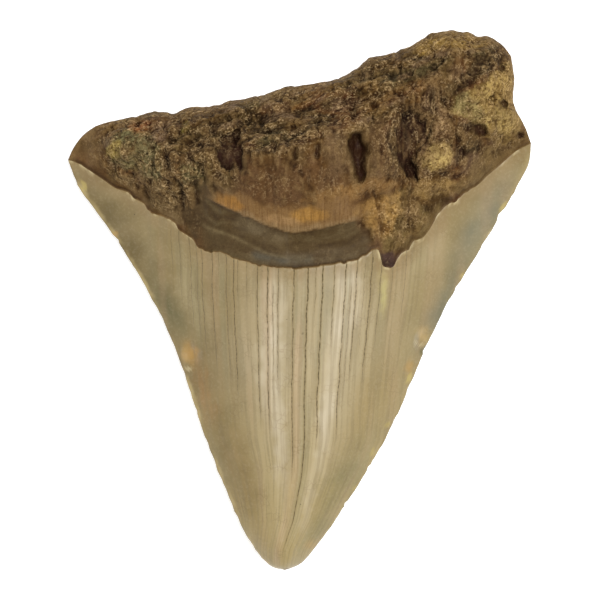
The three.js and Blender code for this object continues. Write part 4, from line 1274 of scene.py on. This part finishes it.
class Shader:
    """A principled material with short calls for adding nodes."""

    def __init__(self, name):
        self.material = bpy.data.materials.new(name)
        self.material.use_nodes = True
        self.tree = self.material.node_tree
        place = self.add("ShaderNodeTexCoord", {}).outputs["Object"]
        self.place = self.vector("MULTIPLY", place, (1 / MM,) * 3)

    def add(self, kind, inputs, **settings):
        made = self.tree.nodes.new(kind)
        for name, value in settings.items():
            setattr(made, name, value)
        self.feed(made, inputs)
        return made

    def feed(self, made, inputs):
        for name, value in inputs.items():
            if isinstance(value, bpy.types.NodeSocket):
                self.tree.links.new(value, made.inputs[name])
            else:
                made.inputs[name].default_value = value

    def finish(self, colour, roughness, normal, gloss):
        """Feeds the surface, and gives the material."""
        self.feed(self.tree.nodes["Principled BSDF"], {
            "Base Color": colour, "Roughness": roughness, "Normal": normal,
            "Specular IOR Level": gloss, "IOR": 1.5,
        })
        return self.material

    def attribute(self, name, output="Fac"):
        return self.add("ShaderNodeAttribute", {}, attribute_name=name).outputs[output]

    def vector(self, operation, a, b):
        return self.add("ShaderNodeVectorMath", {0: a, 1: b}, operation=operation).outputs[0]

    def math(self, operation, a, b=0.0, c=0.0):
        return self.add("ShaderNodeMath", {0: a, 1: b, 2: c}, operation=operation).outputs[0]

    def times(self, product, *factors):
        for factor in factors:
            product = self.math("MULTIPLY", product, factor)
        return product

    def off(self, value, middle):
        """How far a value is from a middle value."""
        return self.math("ABSOLUTE", self.math("SUBTRACT", value, middle))

    def ramp(self, value, low, high, start=0.0, end=1.0):
        """Goes smoothly from start to end while the value goes from low to high."""
        inputs = {"Value": value, "From Min": low, "From Max": high, "To Min": start, "To Max": end}
        return self.add("ShaderNodeMapRange", inputs, interpolation_type="SMOOTHSTEP").outputs[0]

    def noise(self, size, stretch=(1, 1, 1), detail=2.0, at=None):
        """Noise with lumps of a size in millimetres, from 0 to 1."""
        scaled = self.vector("MULTIPLY", at or self.place, [1 / s for s in stretch])
        inputs = {"Vector": scaled, "Scale": 1 / size, "Detail": detail}
        return self.add("ShaderNodeTexNoise", inputs).outputs["Fac"]

    def cells(self, size, feature="F1"):
        """Distances in a pattern of cells of a size in millimetres."""
        inputs = {"Vector": self.place, "Scale": 1 / size}
        return self.add("ShaderNodeTexVoronoi", inputs, feature=feature).outputs["Distance"]

    def mix(self, share, a, b, blend="MIX"):
        made = self.add("ShaderNodeMix", {}, data_type="RGBA", blend_type=blend)
        self.feed(made, {0: share, 6: a, 7: (*b, 1) if isinstance(b, np.ndarray) else b})
        return made.outputs[2]

    def tone(self, kind, value, *factors):
        """The layer of a tone, as strong as its value and the factors make it."""
        shade, strength, reach = kind
        return shade, self.times(self.ramp(value, *reach, 0, strength), *factors)

    def layered(self, colour, layers):
        """The colour under layers, each of them a shade and its strength. DEEP darkens what is below."""
        for shade, strength in layers:
            colour = self.mix(strength, colour, shade, "MULTIPLY" if shade is DEEP else "MIX")
        return colour

    def bump(self, height, distance, strength=1.0, below=None):
        inputs = {"Height": height, "Distance": distance * MM, "Strength": strength}
        if below:
            inputs["Normal"] = below
        return self.add("ShaderNodeBump", inputs).outputs[0]


def enamel_material():
    """Polished enamel with fine streaks, and cracks along the growth lines."""
    m = Shader("enamel")
    growth, inner = m.attribute("growth"), m.attribute("inner")
    y = m.add("ShaderNodeSeparateXYZ", {0: m.place}).outputs["Y"]
    flat = m.add("ShaderNodeCombineXYZ", {"X": growth, "Y": y}).outputs[0]
    bent = growth
    for width, length in CRACK_WOBBLES:
        wave = m.noise(length, (3, 1, 1), at=flat)
        bent = m.math("ADD", bent, m.math("MULTIPLY_ADD", wave, width, -width / 2))
    cracks = halos = 0.0
    for place, top, bottom, darkness in CRACKS:
        off = m.off(bent, place)
        core, side = CRACK_CORE * darkness, CRACK_SIDES[0] + CRACK_SIDES[1] * darkness
        line = m.ramp(off, CRACK_WIDTH * core, CRACK_WIDTH * side, 1, 0)
        above_end = m.ramp(y, bottom + CRACK_END[0], bottom + CRACK_END[1])
        strength = m.times(above_end, m.ramp(y, top, top + CRACK_START, 1, 0), darkness)
        cracks = m.math("MAXIMUM", cracks, m.times(line, strength))
        halos = m.math("MAXIMUM", halos, m.times(m.ramp(off, *CRACK_HALO), strength))
    sizes = ENAMEL_SIZES
    gaps = m.ramp(m.noise(sizes["gaps in cracks"], (0.5, 1, 1), at=flat), 0.3, 0.5, 0.35, 1)
    beads = m.ramp(m.noise(sizes["beads in cracks"], (2, 1, 1), at=flat), 0.35, 0.6, 0.45, 1)
    cracks = m.times(cracks, gaps, beads, inner)
    hair = m.ramp(m.noise(sizes["hair"], (1, 26, 1), 4, flat), 0.42, 0.62)
    hair = m.times(hair, m.ramp(m.math("ABSOLUTE", growth), 20, 29, 1, 0.3))
    crazed = m.ramp(m.noise(sizes["crazed areas"]), 0.52, 0.64)
    dotted = m.ramp(m.noise(sizes["dotted areas"]), 0.5, 0.6)
    fine = m.noise(sizes["fine"], detail=3)
    colour = m.layered(m.attribute("enamel_paint", "Color"), [
        m.tone(HAIR_TONE, hair),
        m.tone(CRAZING_TONE, m.cells(sizes["crazing"], "DISTANCE_TO_EDGE"), crazed),
        m.tone(CLOUD_TONE, m.noise(sizes["clouds"], detail=3)),
        m.tone(FINE_TONE, fine),
        (HALO_COLOUR, m.times(halos, inner, HALO_STRENGTH)),
        (CRACK_COLOUR, m.times(cracks, CRACK_STRENGTH)),
        m.tone(DOT_TONE, m.cells(sizes["dots"]), dotted),
    ])
    normal = m.bump(m.noise(sizes["ripples"], (1, 14, 1), at=flat), distance=0.05, strength=0.5)
    normal = m.bump(m.noise(sizes["satin"], detail=4), distance=0.012, strength=0.5, below=normal)
    normal = m.bump(m.math("SUBTRACT", 1.0, cracks), distance=0.12, strength=0.8, below=normal)
    roughness = m.math("ADD", m.ramp(fine, 0.3, 0.7, 0.3, 0.42), m.times(cracks, 0.4))
    return m.finish(colour, roughness, normal, ENAMEL_GLOSS)


def root_material():
    """Matt fossil bone: light and dark grains, partly painted highlights and painted shade, pores, fibres,
    and a satin chevron band.
    """
    m = Shader("root")
    specks, fibres, broken = m.attribute("specks"), m.attribute("fibres"), m.attribute("broken")
    aside = m.vector("ADD", m.place, (40, 17, 5))
    slanting = m.add("ShaderNodeVectorRotate", {"Vector": m.place, "Angle": np.radians(-SLOPE_TURN)},
                     rotation_type="Z_AXIS").outputs[0]

    def drawn_out(size, detail):
        """Noise that is drawn out upright on the face and along the broken slope."""
        upright, slanted = m.noise(size, (1, 2, 1), detail), m.noise(size, (2, 1, 1), detail, slanting)
        return m.math("MULTIPLY_ADD", m.math("SUBTRACT", slanted, upright), broken, upright)

    def curls(size):
        """How far the noise is from its middle level, along which thin curls run."""
        return m.off(drawn_out(size, 2.0), 0.5)

    sizes = BONE_SIZES
    clumps, hollows = drawn_out(sizes["clumps"], 3.0), m.noise(sizes["hollows"], detail=3, at=aside)
    grains, gaps = m.noise(sizes["grains"], detail=4), m.noise(sizes["gaps"], detail=4, at=aside)
    strands = m.noise(sizes["strands"], (1, 14, 14), 3)
    amount = m.ramp(specks, 0, 1, 0.08, 1)
    lit = m.times(amount, m.ramp(drawn_out(sizes["lit areas"], 3.0), 0.4, 0.6, 0.2, 1))
    holes = m.ramp(m.cells(sizes["holes"]), 0.12, 0.32, 1, 0)
    holes = m.times(holes, amount, m.ramp(hollows, 0.42, 0.6))
    own = m.attribute("root_paint", "Color")
    pale = m.mix(GRAIN_AND_HIGHLIGHT_SHARE, m.mix(1.0, own, OWN_GRAIN_AND_HIGHLIGHT, "MULTIPLY"), GRAIN_AND_HIGHLIGHT_COLOUR)
    colour = m.layered(own, [
        # The pale layers are partly pale grains and partly painted highlights; the dark ones partly dark
        # pores and partly painted shade.
        m.tone(SHADOW_TONE, hollows, m.ramp(specks, 0, 0.8, 0.25, 1)),
        m.tone(CLUMP_TONE, clumps, lit),
        m.tone(STRAND_TONE, strands, fibres),
        m.tone(DUST_TONE, m.noise(sizes["dust"])),
        m.tone(THREAD_TONE, curls(sizes["threads"]), amount),
        m.tone((pale, *CURL_TONE), curls(sizes["curls"]), lit, m.ramp(clumps, 0.42, 0.6)),
        m.tone((pale, *GRAIN_AND_HIGHLIGHT_TONE), grains, lit),
        m.tone(GAP_TONE, gaps, amount),
        (DEEP, m.times(holes, HOLE_STRENGTH)),
    ])
    normal = m.bump(m.math("SUBTRACT", clumps, hollows), 0.4, m.ramp(specks, 0, 1, 0.1, 0.8))
    normal = m.bump(grains, 0.16, m.ramp(specks, 0, 1, 0.12, 0.8), normal)
    normal = m.bump(strands, 0.14, m.times(fibres, 0.8), normal)
    normal = m.bump(m.math("SUBTRACT", 1.0, holes), 0.25, 0.7, normal)
    return m.finish(colour, m.ramp(specks, 0, 0.5, 0.5, 0.85), normal, ROOT_GLOSS)


mesh.materials.append(enamel_material())
mesh.materials.append(root_material())

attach(tooth, "root")
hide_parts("tooth")


# Floor, light and camera

def add_light(name, place, size, power):
    data = bpy.data.lights.new(name, "AREA")
    data.shape = "RECTANGLE"
    data.size, data.size_y = size
    data.energy = power
    light = bpy.data.objects.new(name, data)
    light.location = place
    light.rotation_euler = (-Vector(place)).to_track_quat("-Z", "Y").to_euler()
    bpy.context.scene.collection.objects.link(light)


bpy.ops.mesh.primitive_plane_add(size=FLOOR_SIZE)
floor = bpy.context.object
floor.name = "floor"
floor_material = bpy.data.materials.new("floor")
floor_material.use_nodes = True
for name, value in FLOOR_LOOK.items():
    floor_material.node_tree.nodes["Principled BSDF"].inputs[name].default_value = value
floor.data.materials.append(floor_material)

for light in LIGHTS:
    add_light(*light)

world = bpy.data.worlds.new("studio")
world.use_nodes = True
background = world.node_tree.nodes["Background"]
background.inputs["Color"].default_value = (1, 1, 1, 1)
background.inputs["Strength"].default_value = WORLD_LIGHT
bpy.context.scene.world = world
bpy.context.scene.view_settings.view_transform = "Standard"

camera_data = bpy.data.cameras.new("camera")
camera_data.sensor_width = SENSOR
camera_data.lens = SENSOR * (CAMERA_HEIGHT - FRAME_LEVEL) / FRAME_WIDTH
camera_data.clip_end = CAMERA_REACH
camera = bpy.data.objects.new("camera", camera_data)
camera.location = (CAMERA_X, 0, CAMERA_HEIGHT)
bpy.context.scene.collection.objects.link(camera)
bpy.context.scene.camera = camera
